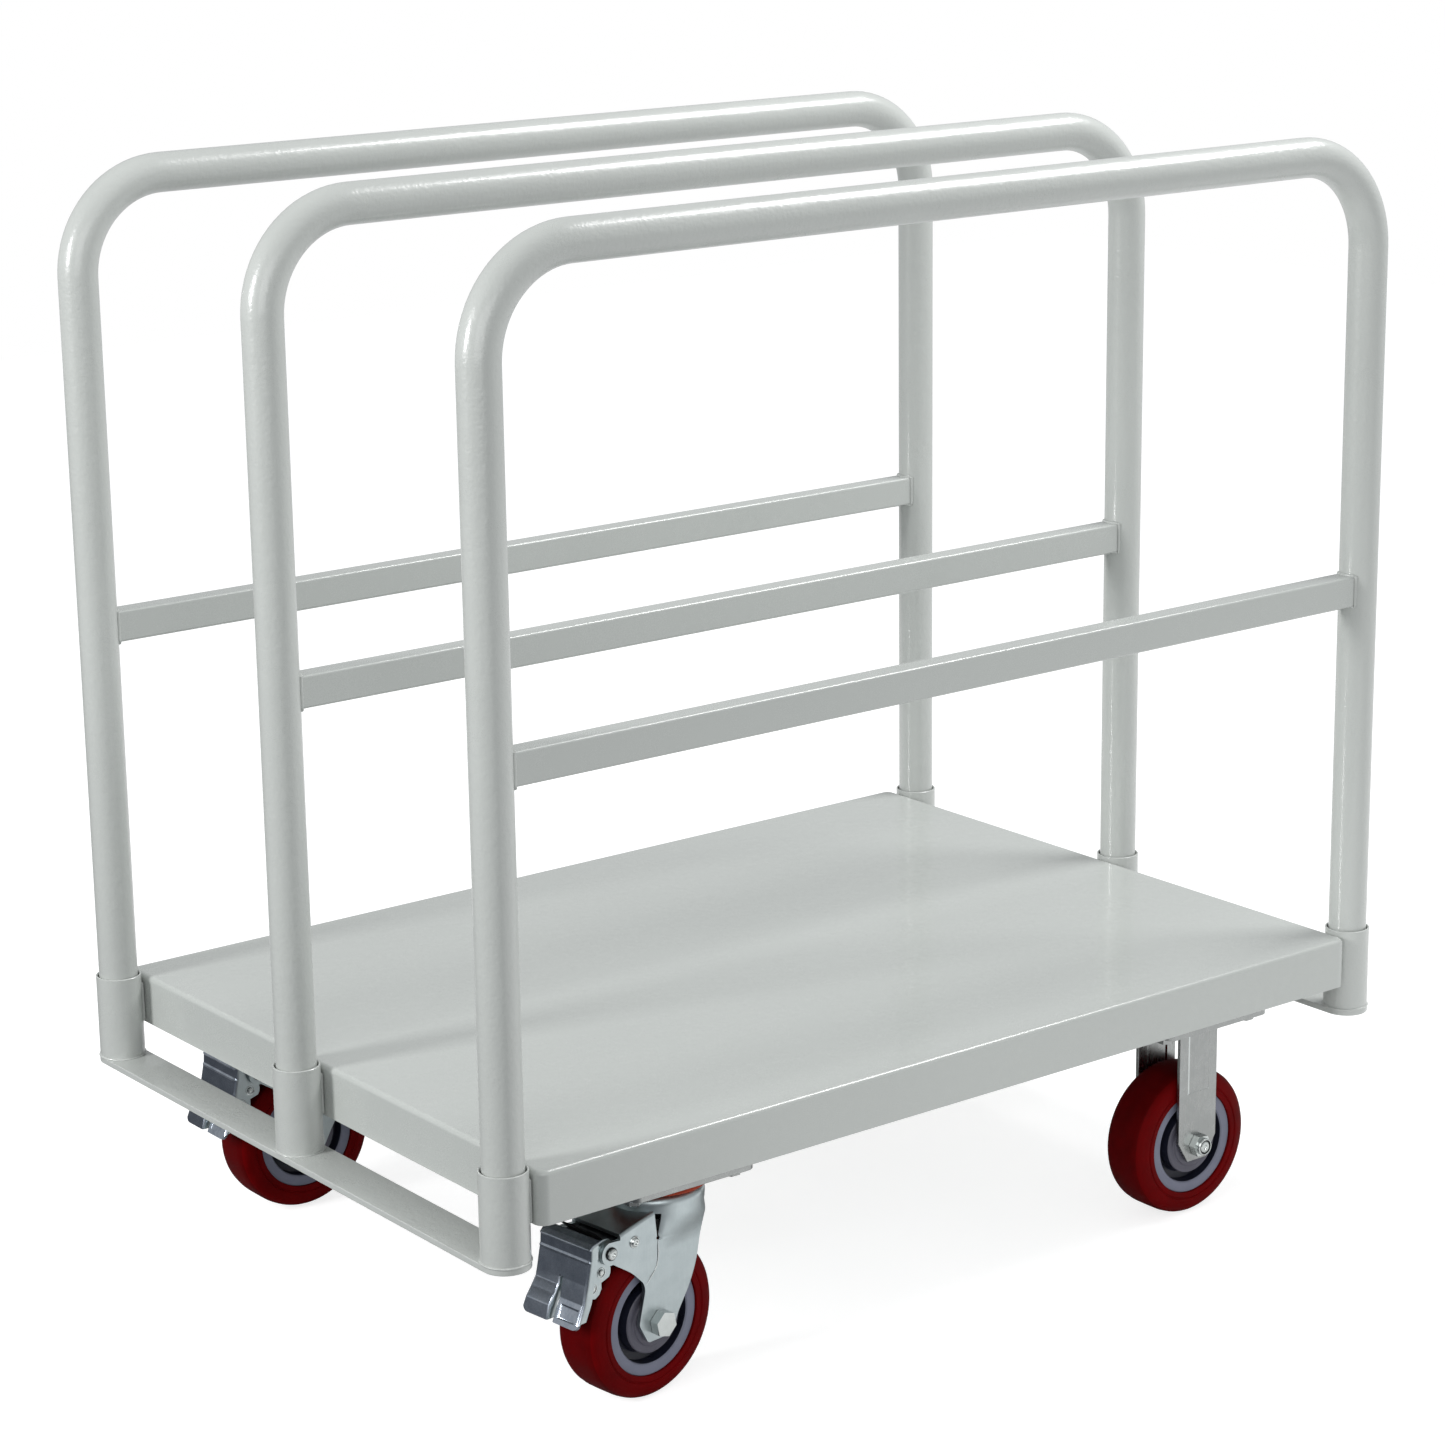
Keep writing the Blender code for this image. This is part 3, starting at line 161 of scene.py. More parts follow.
class ShaderTree:
    """The shader nodes of one material or of the world."""

    def __init__(self, owner: bpy.types.Material | bpy.types.World) -> None:
        """Start with the owner's tree, emptied.

        Args:
            owner: The material or the world.
        """
        owner.use_nodes = True
        self.owner = owner
        self.tree = owner.node_tree
        self.tree.nodes.clear()

    def node(self, kind: str, settings: dict[str, Any] | None = None,
             inputs: dict[str | int, Any] | None = None, output: str | int | None = 0) -> Signal | None:
        """Add any node: its settings are set first, then its sockets.

        Args:
            kind: The node's type, without the word ShaderNode in front.
            settings: The node's own settings.
            inputs: A value or a signal for each named or numbered socket.
            output: The output socket to return, or None for a node that has none.

        Returns:
            The chosen output.
        """
        node = self.tree.nodes.new("ShaderNode" + kind)
        for name, value in (settings or {}).items():
            setattr(node, name, value)
        for name, value in (inputs or {}).items():
            if isinstance(value, Signal):
                self.tree.links.new(value.socket, node.inputs[name])
            else:
                node.inputs[name].default_value = value
        return None if output is None else Signal(self.tree, node.outputs[output])

    def place(self, stretch: Sequence[float] = (1.0, 1.0, 1.0)) -> Signal:
        """Return the object's own coordinates, stretched along its axes."""
        own = self.node("TexCoord", output="Object")
        return self.node("Mapping", inputs={"Vector": own, "Scale": tuple(stretch)})

    def noise(self, size: float, detail: float, place: Signal | None = None, rough: float = 0.5) -> Signal:
        """Return soft noise between zero and one.

        Args:
            size: The size of one cell, in metres.
            detail: How many finer layers lie on it.
            place: The coordinates that it reads.
            rough: The share that each finer layer keeps.

        Returns:
            The noise's value.
        """
        inputs = {"Vector": place or self.place(), "Scale": 1.0 / size, "Detail": detail, "Roughness": rough}
        return self.node("TexNoise", inputs=inputs)

    def span(self, value: Signal, low: float, high: float, start: float = 0.3, stop: float = 0.7) -> Signal:
        """Stretch a value's range between two numbers, without passing them.

        Args:
            value: The value.
            low: The result at start.
            high: The result at stop.
            start: The value that gives low.
            stop: The value that gives high.

        Returns:
            The stretched value.
        """
        return self.node("MapRange", inputs={"Value": value, "From Min": start, "From Max": stop,
                                             "To Min": low, "To Max": high})

    def blend(self, share: Signal, first: Colour, second: Colour) -> Signal:
        """Mix two colours.

        Args:
            share: How much of the second one shows.
            first: The colour at zero.
            second: The colour at one.

        Returns:
            The mixed colour.
        """
        inputs = {0: share, 6: (*first, 1.0), 7: (*second, 1.0)}
        return self.node("Mix", {"data_type": "RGBA"}, inputs, output=2)

    def relief(self, height: Signal, depth: float, strength: float, under: Signal | None = None) -> Signal:
        """Raise the surface's normal from a height.

        Args:
            height: The height, from zero to one.
            depth: What a height of one stands for, in metres.
            strength: The share of the effect.
            under: A relief that this one lies on.

        Returns:
            The bent normal.
        """
        inputs: dict[str | int, Any] = {"Height": height, "Distance": depth, "Strength": strength}
        if under is not None:
            inputs["Normal"] = under
        return self.node("Bump", inputs=inputs)

    def close(self, inputs: dict[str | int, Any]) -> bpy.types.Material:
        """Finish a material with its Principled shader, given the shader's values and signals."""
        return self.surface(self.node("BsdfPrincipled", inputs=inputs))

    def surface(self, shader: Signal, output: str = "OutputMaterial") -> bpy.types.Material | bpy.types.World:
        """Wire a shader to the tree's output node, and return the tree's owner."""
        self.node(output, inputs={"Surface": shader}, output=None)
        return self.owner


@dataclass(frozen=True)
class PowderCoat:
    """Light grey baked powder: a satin skin with the fine swell of an orange's peel."""

    name: str
    tone: Colour
    satin: float
    swell_size: float
    swell_depth: float
    cloud: float = 0.030
    cloud_size: float = 0.16
    patch_size: float = 0.03
    speckle_size: float = 0.0007
    coat: float = 0.45
    coat_satin: float = 0.10

    def material(self) -> bpy.types.Material:
        """Return the finish as a material.

        Returns:
            The material.
        """
        tree = ShaderTree(bpy.data.materials.new(self.name))
        cloud = tree.noise(self.cloud_size, 3)
        speckle = tree.noise(self.speckle_size, 1)
        darker, lighter = (tuple(channel * (1.0 + shift) for channel in self.tone)
                           for shift in (-self.cloud, self.cloud))
        tone = tree.blend(tree.span(cloud * 0.7 + speckle * 0.3, 0.0, 1.0), darker, lighter)
        spread = self.cloud * 1.5
        patches = tree.noise(self.patch_size, 2)
        satin = tree.span(patches * 0.5 + speckle * 0.5, self.satin - spread, self.satin + spread)
        broad = tree.relief(tree.noise(self.swell_size * 3.2, 1), self.swell_depth * 1.6, 0.5)
        peel = tree.relief(tree.noise(self.swell_size, 2), self.swell_depth, 1.0, broad)
        return tree.close({"Base Color": tone, "Roughness": satin, "Normal": peel, "Coat Weight": self.coat,
                           "Coat Roughness": self.coat_satin})


@dataclass(frozen=True)
class ZincPlate:
    """Bright zinc on pressed steel: faintly mottled, with fine rolling lines."""

    name: str
    bright: Colour
    dull: Colour
    gloss: float
    haze: float
    dent_depth: float = 0.00004
    mottle_size: float = 0.012
    fleck_size: float = 0.0016
    line_size: float = 0.0011
    line_stretch: Triple = (1.0, 1.0, 0.06)

    def material(self) -> bpy.types.Material:
        """Return the finish as a material.

        Returns:
            The material.
        """
        tree = ShaderTree(bpy.data.materials.new(self.name))
        mottle = tree.noise(self.mottle_size, 4, rough=0.62)
        flecks = tree.noise(self.fleck_size, 2)
        lines = tree.noise(self.line_size, 2, tree.place(self.line_stretch))
        share = tree.span(mottle * 0.62 + flecks * 0.2 + lines * 0.18, 0.0, 1.0, 0.36, 0.62)
        rough = tree.span(mottle * 0.5 + lines * 0.5, self.gloss, self.haze, 0.36, 0.64)
        dents = tree.relief(mottle, self.dent_depth * 3, 0.30)
        skin = tree.relief(lines * 0.6 + flecks * 0.4, self.dent_depth, 0.35, dents)
        return tree.close({"Base Color": tree.blend(share, self.bright, self.dull), "Metallic": 1.0,
                           "Roughness": rough, "Normal": skin})


@dataclass(frozen=True)
class CastPolymer:
    """Poured or moulded plastic: an even body with a soft bloom and a faint grain."""

    name: str
    deep: Colour
    pale: Colour
    satin: float
    grain_size: float
    grain_depth: float = 0.00003
    sheen: float = 0.35
    bloom: float = 0.08
    cloud_size: float = 0.02

    def material(self) -> bpy.types.Material:
        """Return the finish as a material.

        Returns:
            The material.
        """
        tree = ShaderTree(bpy.data.materials.new(self.name))
        cloud = tree.noise(self.cloud_size, 3)
        grain = tree.noise(self.grain_size, 2)
        tone = tree.blend(tree.span(cloud * 0.75 + grain * 0.25, 0.0, 1.0), self.deep, self.pale)
        satin = tree.span(cloud, self.satin - self.bloom, self.satin + self.bloom)
        return tree.close({"Base Color": tone, "Roughness": satin, "Specular IOR Level": self.sheen,
                           "Normal": tree.relief(grain, self.grain_depth, 0.5)})


class Coat(Enum):
    """The cart's finishes, each with what wears it and the record's slot."""

    TUBE_PAINT = ("tubes", "paint")
    DECK_PAINT = ("sheet", "paint")
    ZINC = ("plated parts", "zinc")
    PEDAL_ZINC = ("pedals", "dark_zinc")
    BOLT_ZINC = ("bolts and pins", "zinc")
    STEEL = ("bearings", "steel")
    TREAD = ("treads", "red_tyre")
    TREAD_FACE = ("running faces", "red_tyre")
    RIM = ("rims and hubs", "grey_plastic")
    WEB_SHADE = ("webs", "grey_plastic")
    HUB = ("hub flanges", "grey_plastic")
    YOKE_ZINC = ("yokes", "zinc")
    SEAL = ("seals", "seal")
    SHOE = ("shoes", "brake_rubber")
    BLACK_AND_SHADE = ("springs and kingpins", "steel")

    @property
    def slot(self) -> str:
        """Return the record's slot."""
        return self.value[1]


RECIPES: dict[Coat, PowderCoat | ZincPlate | CastPolymer] = {
    Coat.TUBE_PAINT: PowderCoat("tube_paint", (0.515, 0.535, 0.515), 0.30, 0.0032, 0.00030),
    Coat.DECK_PAINT: PowderCoat("deck_paint", (0.488, 0.510, 0.490), 0.27, 0.0021, 0.00003, 0.012),
    Coat.ZINC: ZincPlate("bright_zinc", (0.495, 0.550, 0.560), (0.445, 0.500, 0.513), 0.28, 0.36, 0.00002),
    Coat.YOKE_ZINC: ZincPlate("yoke_zinc", (0.372, 0.382, 0.375), (0.338, 0.348, 0.343), 0.24, 0.33, 0.00002),
    # The pedal's zinc is the plain zinc darkened: painted shade of the dark room that the pedal's face
    # mirrors.
    Coat.PEDAL_ZINC: ZincPlate("pedal_zinc", (0.470, 0.510, 0.570), (0.270, 0.305, 0.360), 0.17, 0.27,
                               0.00001),
    Coat.BOLT_ZINC: ZincPlate("bolt_zinc", (0.620, 0.650, 0.640), (0.540, 0.570, 0.560), 0.12, 0.20, 0.00001),
    Coat.STEEL: ZincPlate("bare_steel", (0.50, 0.50, 0.50), (0.36, 0.36, 0.37), 0.28, 0.46),
    Coat.TREAD: CastPolymer("red_polyurethane", (0.100, 0.0003, 0.0008), (0.150, 0.0006, 0.0014), 0.52,
                            0.0012, sheen=0.04),
    # The running face's red is the tread's red darkened: painted shade where little light reaches the tread.
    Coat.TREAD_FACE: CastPolymer("run_in_polyurethane", (0.068, 0.0003, 0.0007), (0.108, 0.0005, 0.0012),
                                 0.58, 0.0012, sheen=0.04),
    Coat.RIM: CastPolymer("rim_plastic", (0.165, 0.175, 0.235), (0.205, 0.215, 0.280), 0.45, 0.0010),
    Coat.HUB: CastPolymer("hub_plastic", (0.085, 0.083, 0.108), (0.115, 0.112, 0.142), 0.45, 0.0010),
    # The web's near-black is the core's grey plastic darkened: painted shade in the wheel's dish.
    Coat.WEB_SHADE: CastPolymer("web_plastic", (0.008, 0.009, 0.018), (0.018, 0.020, 0.036), 0.34, 0.0010),
    Coat.SEAL: CastPolymer("seal_rubber", (0.31, 0.030, 0.006), (0.40, 0.045, 0.010), 0.50, 0.0008,
                           sheen=0.25),
    # Near-black steel: the nut inserts' own black, and painted shade on the spring, the kingpins and the pin
    # grooves.
    Coat.BLACK_AND_SHADE: ZincPlate("blackened_steel", (0.050, 0.050, 0.052), (0.022, 0.022, 0.024), 0.38, 0.55),
    Coat.SHOE: CastPolymer("shoe_rubber", (0.018, 0.018, 0.019), (0.030, 0.030, 0.031), 0.70, 0.0008,
                           0.00006),
}


class Palette:
    """Every finish of the cart, made once and handed out by name."""

    def __init__(self) -> None:
        """Make the materials."""
        self.materials = {coat: recipe.material() for coat, recipe in RECIPES.items()}

    def dress_node(self, node: str, coat: Coat) -> None:
        """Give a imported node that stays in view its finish.

        Args:
            node: The node's name.
            coat: Its finish.
        """
        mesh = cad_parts[node].data
        mesh.materials.clear()
        mesh.materials.append(self.materials[coat])
        log.info("node %s wears %s", node, coat.name)


# Mesh tools


def polar(radius: float, angle: float, centre: Sequence[float] = (0.0, 0.0)) -> Point:
    """Return the point at a radius and an angle, in degrees, round a centre."""
    turn = math.radians(angle)
    return centre[0] + radius * math.cos(turn), centre[1] + radius * math.sin(turn)


def mirrored(section: Sequence[Point]) -> list[Point]:
    """Return the upper half of a section, as (radius, height), with its lower half added."""
    return [*section, *((radius, -height) for radius, height in reversed(section))]


def turn_z(angle: float) -> Matrix:
    """Return a turn about Z, given in degrees."""
    return Matrix.Rotation(math.radians(angle), 4, "Z")


def extent(edge: bmesh.types.BMEdge, axis: int) -> float:
    """Return how far an edge reaches along an axis."""
    return abs(edge.verts[0].co[axis] - edge.verts[1].co[axis])


def beside(edge: bmesh.types.BMEdge, distance: float) -> bool:
    """Return whether an edge lies at a distance to either side of the middle plane."""
    return all(abs(abs(vert.co.y) - distance) < MERGE for vert in edge.verts)


def verts_of(geometry: Iterable[Any]) -> Verts:
    """Return the vertices among an operator's results."""
    return [item for item in geometry if isinstance(item, bmesh.types.BMVert)]


def link_in(name: str, data: bpy.types.ID) -> bpy.types.Object:
    """Make an object of a mesh, a lamp or a camera, and link it into the scene.

    Args:
        name: The object's name.
        data: What it holds.

    Returns:
        The object.
    """
    thing = bpy.data.objects.new(name, data)
    bpy.context.scene.collection.objects.link(thing)
    return thing


class Shape:
    """A mesh under construction, with the operators that the cart's pieces share."""

    def __init__(self) -> None:
        """Start an empty mesh."""
        self.bm = bmesh.new()

    @classmethod
    def block(cls, low: Sequence[float], high: Sequence[float]) -> "Shape":
        """Return a rectangular block.

        Args:
            low: Its lowest corner.
            high: Its highest corner.

        Returns:
            The block.
        """
        shape = cls()
        first, last = Vector(low), Vector(high)
        bmesh.ops.create_cube(shape.bm, size=1.0)
        bmesh.ops.scale(shape.bm, vec=last - first, verts=shape.bm.verts)
        bmesh.ops.translate(shape.bm, vec=(first + last) / 2, verts=shape.bm.verts)
        return shape

    @classmethod
    def turned(cls, profile: Sequence[Point], steps: int, closed: bool = False) -> "Shape":
        """Sweep a profile round the Z axis.

        Args:
            profile: Points as (radius, height).
            steps: The number of facets in a turn.
            closed: Whether the profile is the section of a ring.

        Returns:
            The turned solid.
        """
        shape = cls()
        verts = shape.row([(radius, 0.0, height) for radius, height in profile])
        if closed:
            shape.bm.edges.new((verts[-1], verts[0]))
        bmesh.ops.spin(shape.bm, geom=verts + list(shape.bm.edges), cent=(0, 0, 0), axis=(0, 0, 1),
                       angle=2 * math.pi, steps=steps, use_merge=True)
        return shape.tidy()

    @classmethod
    def rod(cls, radius: float, low: float, high: float, steps: int = 24) -> "Shape":
        """Return a plain round bar that stands on Z."""
        return cls.turned([(0.0, low), (radius, low), (radius, high), (0.0, high)], steps)

    @classmethod
    def pin(cls, seat: float, head: Sequence[Point], steps: int = 40) -> "Shape":
        """Return a pin with the same riveted head at both ends.

        Args:
            seat: How far the heads' seats lie from the middle.
            head: The head's section as (radius, rise over the seat), from its middle outwards.
            steps: The number of facets in a turn.

        Returns:
            The pin, which stands on Z.
        """
        return cls.turned(mirrored([(radius, seat + rise) for radius, rise in head]), steps)

    @classmethod
    def sheet(cls, outline: Sequence[Point], low: float, high: float) -> "Shape":
        """Give a flat outline in XY a thickness along Z.

        Args:
            outline: Its corners in order.
            low: The height of its lower face.
            high: The height of its upper face.

        Returns:
            The plate.
        """
        shape = cls()
        verts = [shape.bm.verts.new((x, y, low)) for x, y in outline]
        face = bmesh.ops.contextual_create(shape.bm, geom=verts)["faces"]
        raised = bmesh.ops.extrude_face_region(shape.bm, geom=face)["geom"]
        bmesh.ops.translate(shape.bm, vec=(0, 0, high - low), verts=verts_of(raised))
        return shape.tidy()

    @classmethod
    def rope(cls, points: Iterable[Sequence[float]], radius: float, ripple: float, sides: int = 8) -> "Shape":
        """Lay a round bead along points, thinner at both ends.

        Args:
            points: The bead's middle line.
            radius: Its radius.
            ripple: The share by which every second ring is thinner.
            sides: The number of facets round it.

        Returns:
            The bead.
        """
        shape = cls()
        path = [Vector(point) for point in points]
        runs = [(after - before).normalized() for before, after in zip(path, path[1:])]
        runs.append(runs[-1])
        widths = [radius * (1.0 - ripple * (index % 2)) for index in range(len(path))]
        widths[0] = widths[-1] = radius * 0.4
        ring = bmesh.ops.create_circle(shape.bm, cap_ends=True, radius=widths[0], segments=sides)["verts"]
        aim = Matrix.Translation(path[0]) @ runs[0].to_track_quat("Z", "Y").to_matrix().to_4x4()
        bmesh.ops.transform(shape.bm, matrix=aim, verts=ring)
        edges = list(shape.bm.edges)
        for index in range(1, len(path)):
            ring, edges = shape.grown(edges)
            turn = runs[index - 1].rotation_difference(runs[index]).to_matrix().to_4x4()
            swell = Matrix.Scale(widths[index] / widths[index - 1], 4)
            step = Matrix.Translation(path[index]) @ turn @ swell @ Matrix.Translation(-path[index - 1])
            bmesh.ops.transform(shape.bm, matrix=step, verts=ring)
        bmesh.ops.contextual_create(shape.bm, geom=edges)
        return shape.tidy()

    @classmethod
    def hexagon(cls, flats: float, low: float, high: float, chamfer: float) -> "Shape":
        """Return a hexagonal head whose upper corners are turned off in a cone.

        Args:
            flats: The width across its flats.
            low: The height of its seat.
            high: The height of its top.
            chamfer: How far the round face's edge lies inside the flats.

        Returns:
            The head.
        """
        shape = cls()
        across = flats / 2
        bmesh.ops.create_circle(shape.bm, cap_ends=True, radius=across / math.cos(math.pi / 6), segments=6)
        bmesh.ops.translate(shape.bm, vec=(0, 0, low), verts=shape.bm.verts)
        bmesh.ops.subdivide_edges(shape.bm, edges=shape.bm.edges, cuts=7)
        raised = bmesh.ops.extrude_face_region(shape.bm, geom=list(shape.bm.faces))["geom"]
        top = next(item for item in raised if isinstance(item, bmesh.types.BMFace))
        bmesh.ops.translate(shape.bm, vec=(0, 0, high - low), verts=top.verts)
        rim = list(top.verts)
        bmesh.ops.inset_region(shape.bm, faces=[top], thickness=chamfer, use_even_offset=True)
        face_radius = across - chamfer
        for vert in top.verts:
            reach = math.hypot(vert.co.x, vert.co.y)
            vert.co = Vector((vert.co.x * face_radius / reach, vert.co.y * face_radius / reach, high))
        for vert in rim:
            vert.co.z -= (math.hypot(vert.co.x, vert.co.y) - face_radius) * math.tan(math.radians(30))
        return shape.tidy()

    @classmethod
    def of_node(cls, node: str) -> "Shape":
        """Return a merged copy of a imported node's mesh.

        Args:
            node: The node's name.

        Returns:
            The copy, with its flat faces whole again.
        """
        shape = cls()
        shape.bm.from_mesh(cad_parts[node].data)
        bmesh.ops.remove_doubles(shape.bm, verts=shape.bm.verts, dist=MERGE * 10)
        bmesh.ops.dissolve_limit(shape.bm, angle_limit=math.radians(1.0), verts=shape.bm.verts,
                                 edges=shape.bm.edges)
        return shape

    def row(self, spots: Iterable[Sequence[float]]) -> Verts:
        """Lay vertices in a row, with an edge from each to the next.

        Args:
            spots: Their places.

        Returns:
            The vertices.
        """
        verts = [self.bm.verts.new(spot) for spot in spots]
        for pair in zip(verts, verts[1:]):
            self.bm.edges.new(pair)
        return verts

    def grown(self, edges: Edges) -> tuple[Verts, Edges]:
        """Extrude edges where they lie.

        Args:
            edges: The edges.

        Returns:
            The new vertices, and the new edges between them.
        """
        geometry = bmesh.ops.extrude_edge_only(self.bm, edges=edges)["geom"]
        verts = verts_of(geometry)
        return verts, [item for item in geometry if isinstance(item, bmesh.types.BMEdge)
                       and all(vert in verts for vert in item.verts)]

    def grown_row(self, row: Verts, spots: Iterable[Vector]) -> Verts:
        """Extrude a row of vertices to new places.

        Args:
            row: The row, in order.
            spots: Where each of its vertices comes to.

        Returns:
            The new row, in the same order.
        """
        verts = set(self.grown([self.bm.edges.get(pair) for pair in zip(row, row[1:])])[0])
        row = [next(edge.other_vert(vert) for edge in vert.link_edges if edge.other_vert(vert) in verts)
               for vert in row]
        for vert, spot in zip(row, spots):
            vert.co = spot
        return row

    def drawn(self, row: Verts, path: Iterable[Point]) -> Verts:
        """Draw a row that lies along Y down a path.

        Args:
            row: The row.
            path: The places that it comes to, as (forward, height).

        Returns:
            The last row.
        """
        for x, z in path:
            row = self.grown_row(row, [Vector((x, vert.co.y, z)) for vert in row])
        return row

    def round_off(self, geom: Sequence[Any], width: float, segments: int, affect: str = "EDGES",
                  clamp: bool = False) -> "Shape":
        """Round some edges or corners.

        Args:
            geom: The edges or vertices.
            width: The width of the rounding.
            segments: Its steps.
            affect: What is rounded, edges or vertices.
            clamp: Whether the rounding stops where it meets another.

        Returns:
            This shape.
        """
        bmesh.ops.bevel(self.bm, geom=geom, offset=width, segments=segments, profile=0.5, affect=affect,
                        material=-1, clamp_overlap=clamp)
        return self

    def soften(self, width: float, segments: int, angle: float) -> "Shape":
        """Round every edge that is sharper than an angle.

        Args:
            width: The width of the rounding.
            segments: Its steps.
            angle: The least angle between two faces, in degrees.

        Returns:
            This shape.
        """
        edges = [edge for edge in self.bm.edges
                 if len(edge.link_faces) == 2 and edge.calc_face_angle() > math.radians(angle)]
        return self.round_off(edges, width, segments, clamp=True)

    def reaching(self, axis: int, least: float) -> Edges:
        """Return the edges that reach further than a length along an axis."""
        return [edge for edge in self.bm.edges if extent(edge, axis) > least]

    def facing(self, way: Sequence[float]) -> "Shape":
        """Turn an open skin over if its farthest face along a direction looks back.

        Args:
            way: The direction.

        Returns:
            This shape.
        """
        farthest = max(self.bm.faces, key=lambda face: face.calc_center_median().dot(Vector(way)))
        if farthest.normal.dot(Vector(way)) < 0:
            bmesh.ops.reverse_faces(self.bm, faces=self.bm.faces)
        return self

    def tidy(self) -> "Shape":
        """Merge the doubles and turn every face outwards."""
        bmesh.ops.remove_doubles(self.bm, verts=self.bm.verts, dist=MERGE)
        bmesh.ops.recalc_face_normals(self.bm, faces=self.bm.faces)
        return self

    def moved(self, matrix: Matrix) -> "Shape":
        """Move the whole shape by a matrix."""
        bmesh.ops.transform(self.bm, matrix=matrix, verts=self.bm.verts)
        return self

    def shifted(self, x: float, y: float, z: float) -> "Shape":
        """Move the whole shape along the axes."""
        return self.moved(Matrix.Translation((x, y, z)))

    def tipped(self) -> "Shape":
        """Lay a shape that stands on Z along Y, with its top towards the cart's right side."""
        return self.moved(Matrix.Rotation(math.pi / 2, 4, "X"))

    def add(self, *others: "Shape") -> "Shape":
        """Take other shapes' faces into this one.

        Args:
            others: The shapes, which are used up.

        Returns:
            This shape.
        """
        for other in others:
            mesh = bpy.data.meshes.new("taken_in")
            other.bm.to_mesh(mesh)
            other.bm.free()
            self.bm.from_mesh(mesh)
            bpy.data.meshes.remove(mesh)
        return self

    def tint(self, index: int, chosen: Iterable[bmesh.types.BMFace]) -> "Shape":
        """Give some faces another of the piece's finishes.

        Args:
            index: The finish's place in the piece's list.
            chosen: The faces.

        Returns:
            This shape.
        """
        for face in chosen:
            face.material_index = index
        return self

    def band(self, index: int, inner: float, outer: float, reach: float) -> "Shape":
        """Give the faces between two radii round Z another of the piece's finishes.

        Args:
            index: The finish's place in the piece's list.
            inner: The smaller radius.
            outer: The larger radius.
            reach: How far from the middle height the faces may lie.

        Returns:
            This shape.
        """
        centres = {face: face.calc_center_median() for face in self.bm.faces}
        return self.tint(index, [face for face, spot in centres.items()
                                 if inner < math.hypot(spot.x, spot.y) < outer and abs(spot.z) < reach])

    def mesh(self, name: str, sharp: float = 32.0) -> bpy.types.Mesh:
        """Write the shape out as a smooth mesh whose sharp edges stay sharp.

        Args:
            name: The mesh's name.
            sharp: The angle above which an edge is sharp, in degrees.

        Returns:
            The mesh.
        """
        mesh = bpy.data.meshes.new(name)
        self.bm.to_mesh(mesh)
        self.bm.free()
        mesh.shade_smooth()
        mesh.set_sharp_from_angle(angle=math.radians(sharp))
        return mesh


@dataclass
class Fitter:
    """Turns finished shapes into pieces that ride on the cart's bodies."""

    palette: Palette

    def fit(self, name: str, shape: Shape, body: str, coats: Sequence[Coat], stands_for: Sequence[str] = (),
            wall: float = 0.0, edge: float = 0.0) -> None:
        """Make a piece from a shape.

        Args:
            name: The piece's name.
            shape: Its shape, in place.
            body: The body that it rides on.
            coats: Its finishes, in the order of its faces' numbers.
            stands_for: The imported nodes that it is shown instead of.
            wall: The thickness of its sheet, laid inwards, if the shape is an open skin.
            edge: The width of the rounding along a sheet's edges.
        """
        piece = link_in(name, shape.mesh(name))
        for coat in coats:
            piece.data.materials.append(self.palette.materials[coat])
        if wall:
            skin = piece.modifiers.new("wall", "SOLIDIFY")
            skin.thickness = wall
            skin.offset = -1
            skin.use_even_offset = True
        if edge:
            round_off = piece.modifiers.new("edge", "BEVEL")
            round_off.width = edge
            round_off.segments = 2
            round_off.limit_method = "ANGLE"
            round_off.angle_limit = math.radians(40)
        even = piece.modifiers.new("even", "WEIGHTED_NORMAL")
        even.keep_sharp = True
        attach(piece, body)
        if stands_for:
            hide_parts(*stands_for)
        log.info("piece %s rides on %s", name, body)


# Sub-assemblies


@dataclass
class Deck:
    """The folded deck pan, and the channels under it that stay as packed."""

    corner: float = 0.009
    edge: float = 0.004
    sheet: float = 0.002
    cut_edge: float = 0.0004

    def pan(self) -> Shape:
        """Return the pan's outer skin, open below.

        Returns:
            The skin.
        """
        low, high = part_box("deck_pan")
        shape = Shape.block(low, high)
        under = [face for face in shape.bm.faces if face.normal.z < -0.5]
        bmesh.ops.delete(shape.bm, geom=under, context="FACES")
        middle = (low.z + high.z) / 2
        shape.round_off(shape.reaching(Z, self.edge), self.corner, 10)
        rim = [edge for edge in shape.bm.edges
               if min(vert.co.z for vert in edge.verts) > middle and len(edge.link_faces) == 2]
        return shape.round_off(rim, self.edge, 6)

    def build(self, fitter: Fitter) -> None:
        """Make the pan and dress the channels.

        Args:
            fitter: What makes the pieces.
        """
        fitter.fit("deck_skin", self.pan(), "cart", [Coat.DECK_PAINT], ["deck_pan"], wall=self.sheet,
                   edge=self.cut_edge)
        for node in ("cross_channel_swivel_end", "cross_channel_rigid_end", "centre_stiffener"):
            fitter.palette.dress_node(node, Coat.DECK_PAINT)


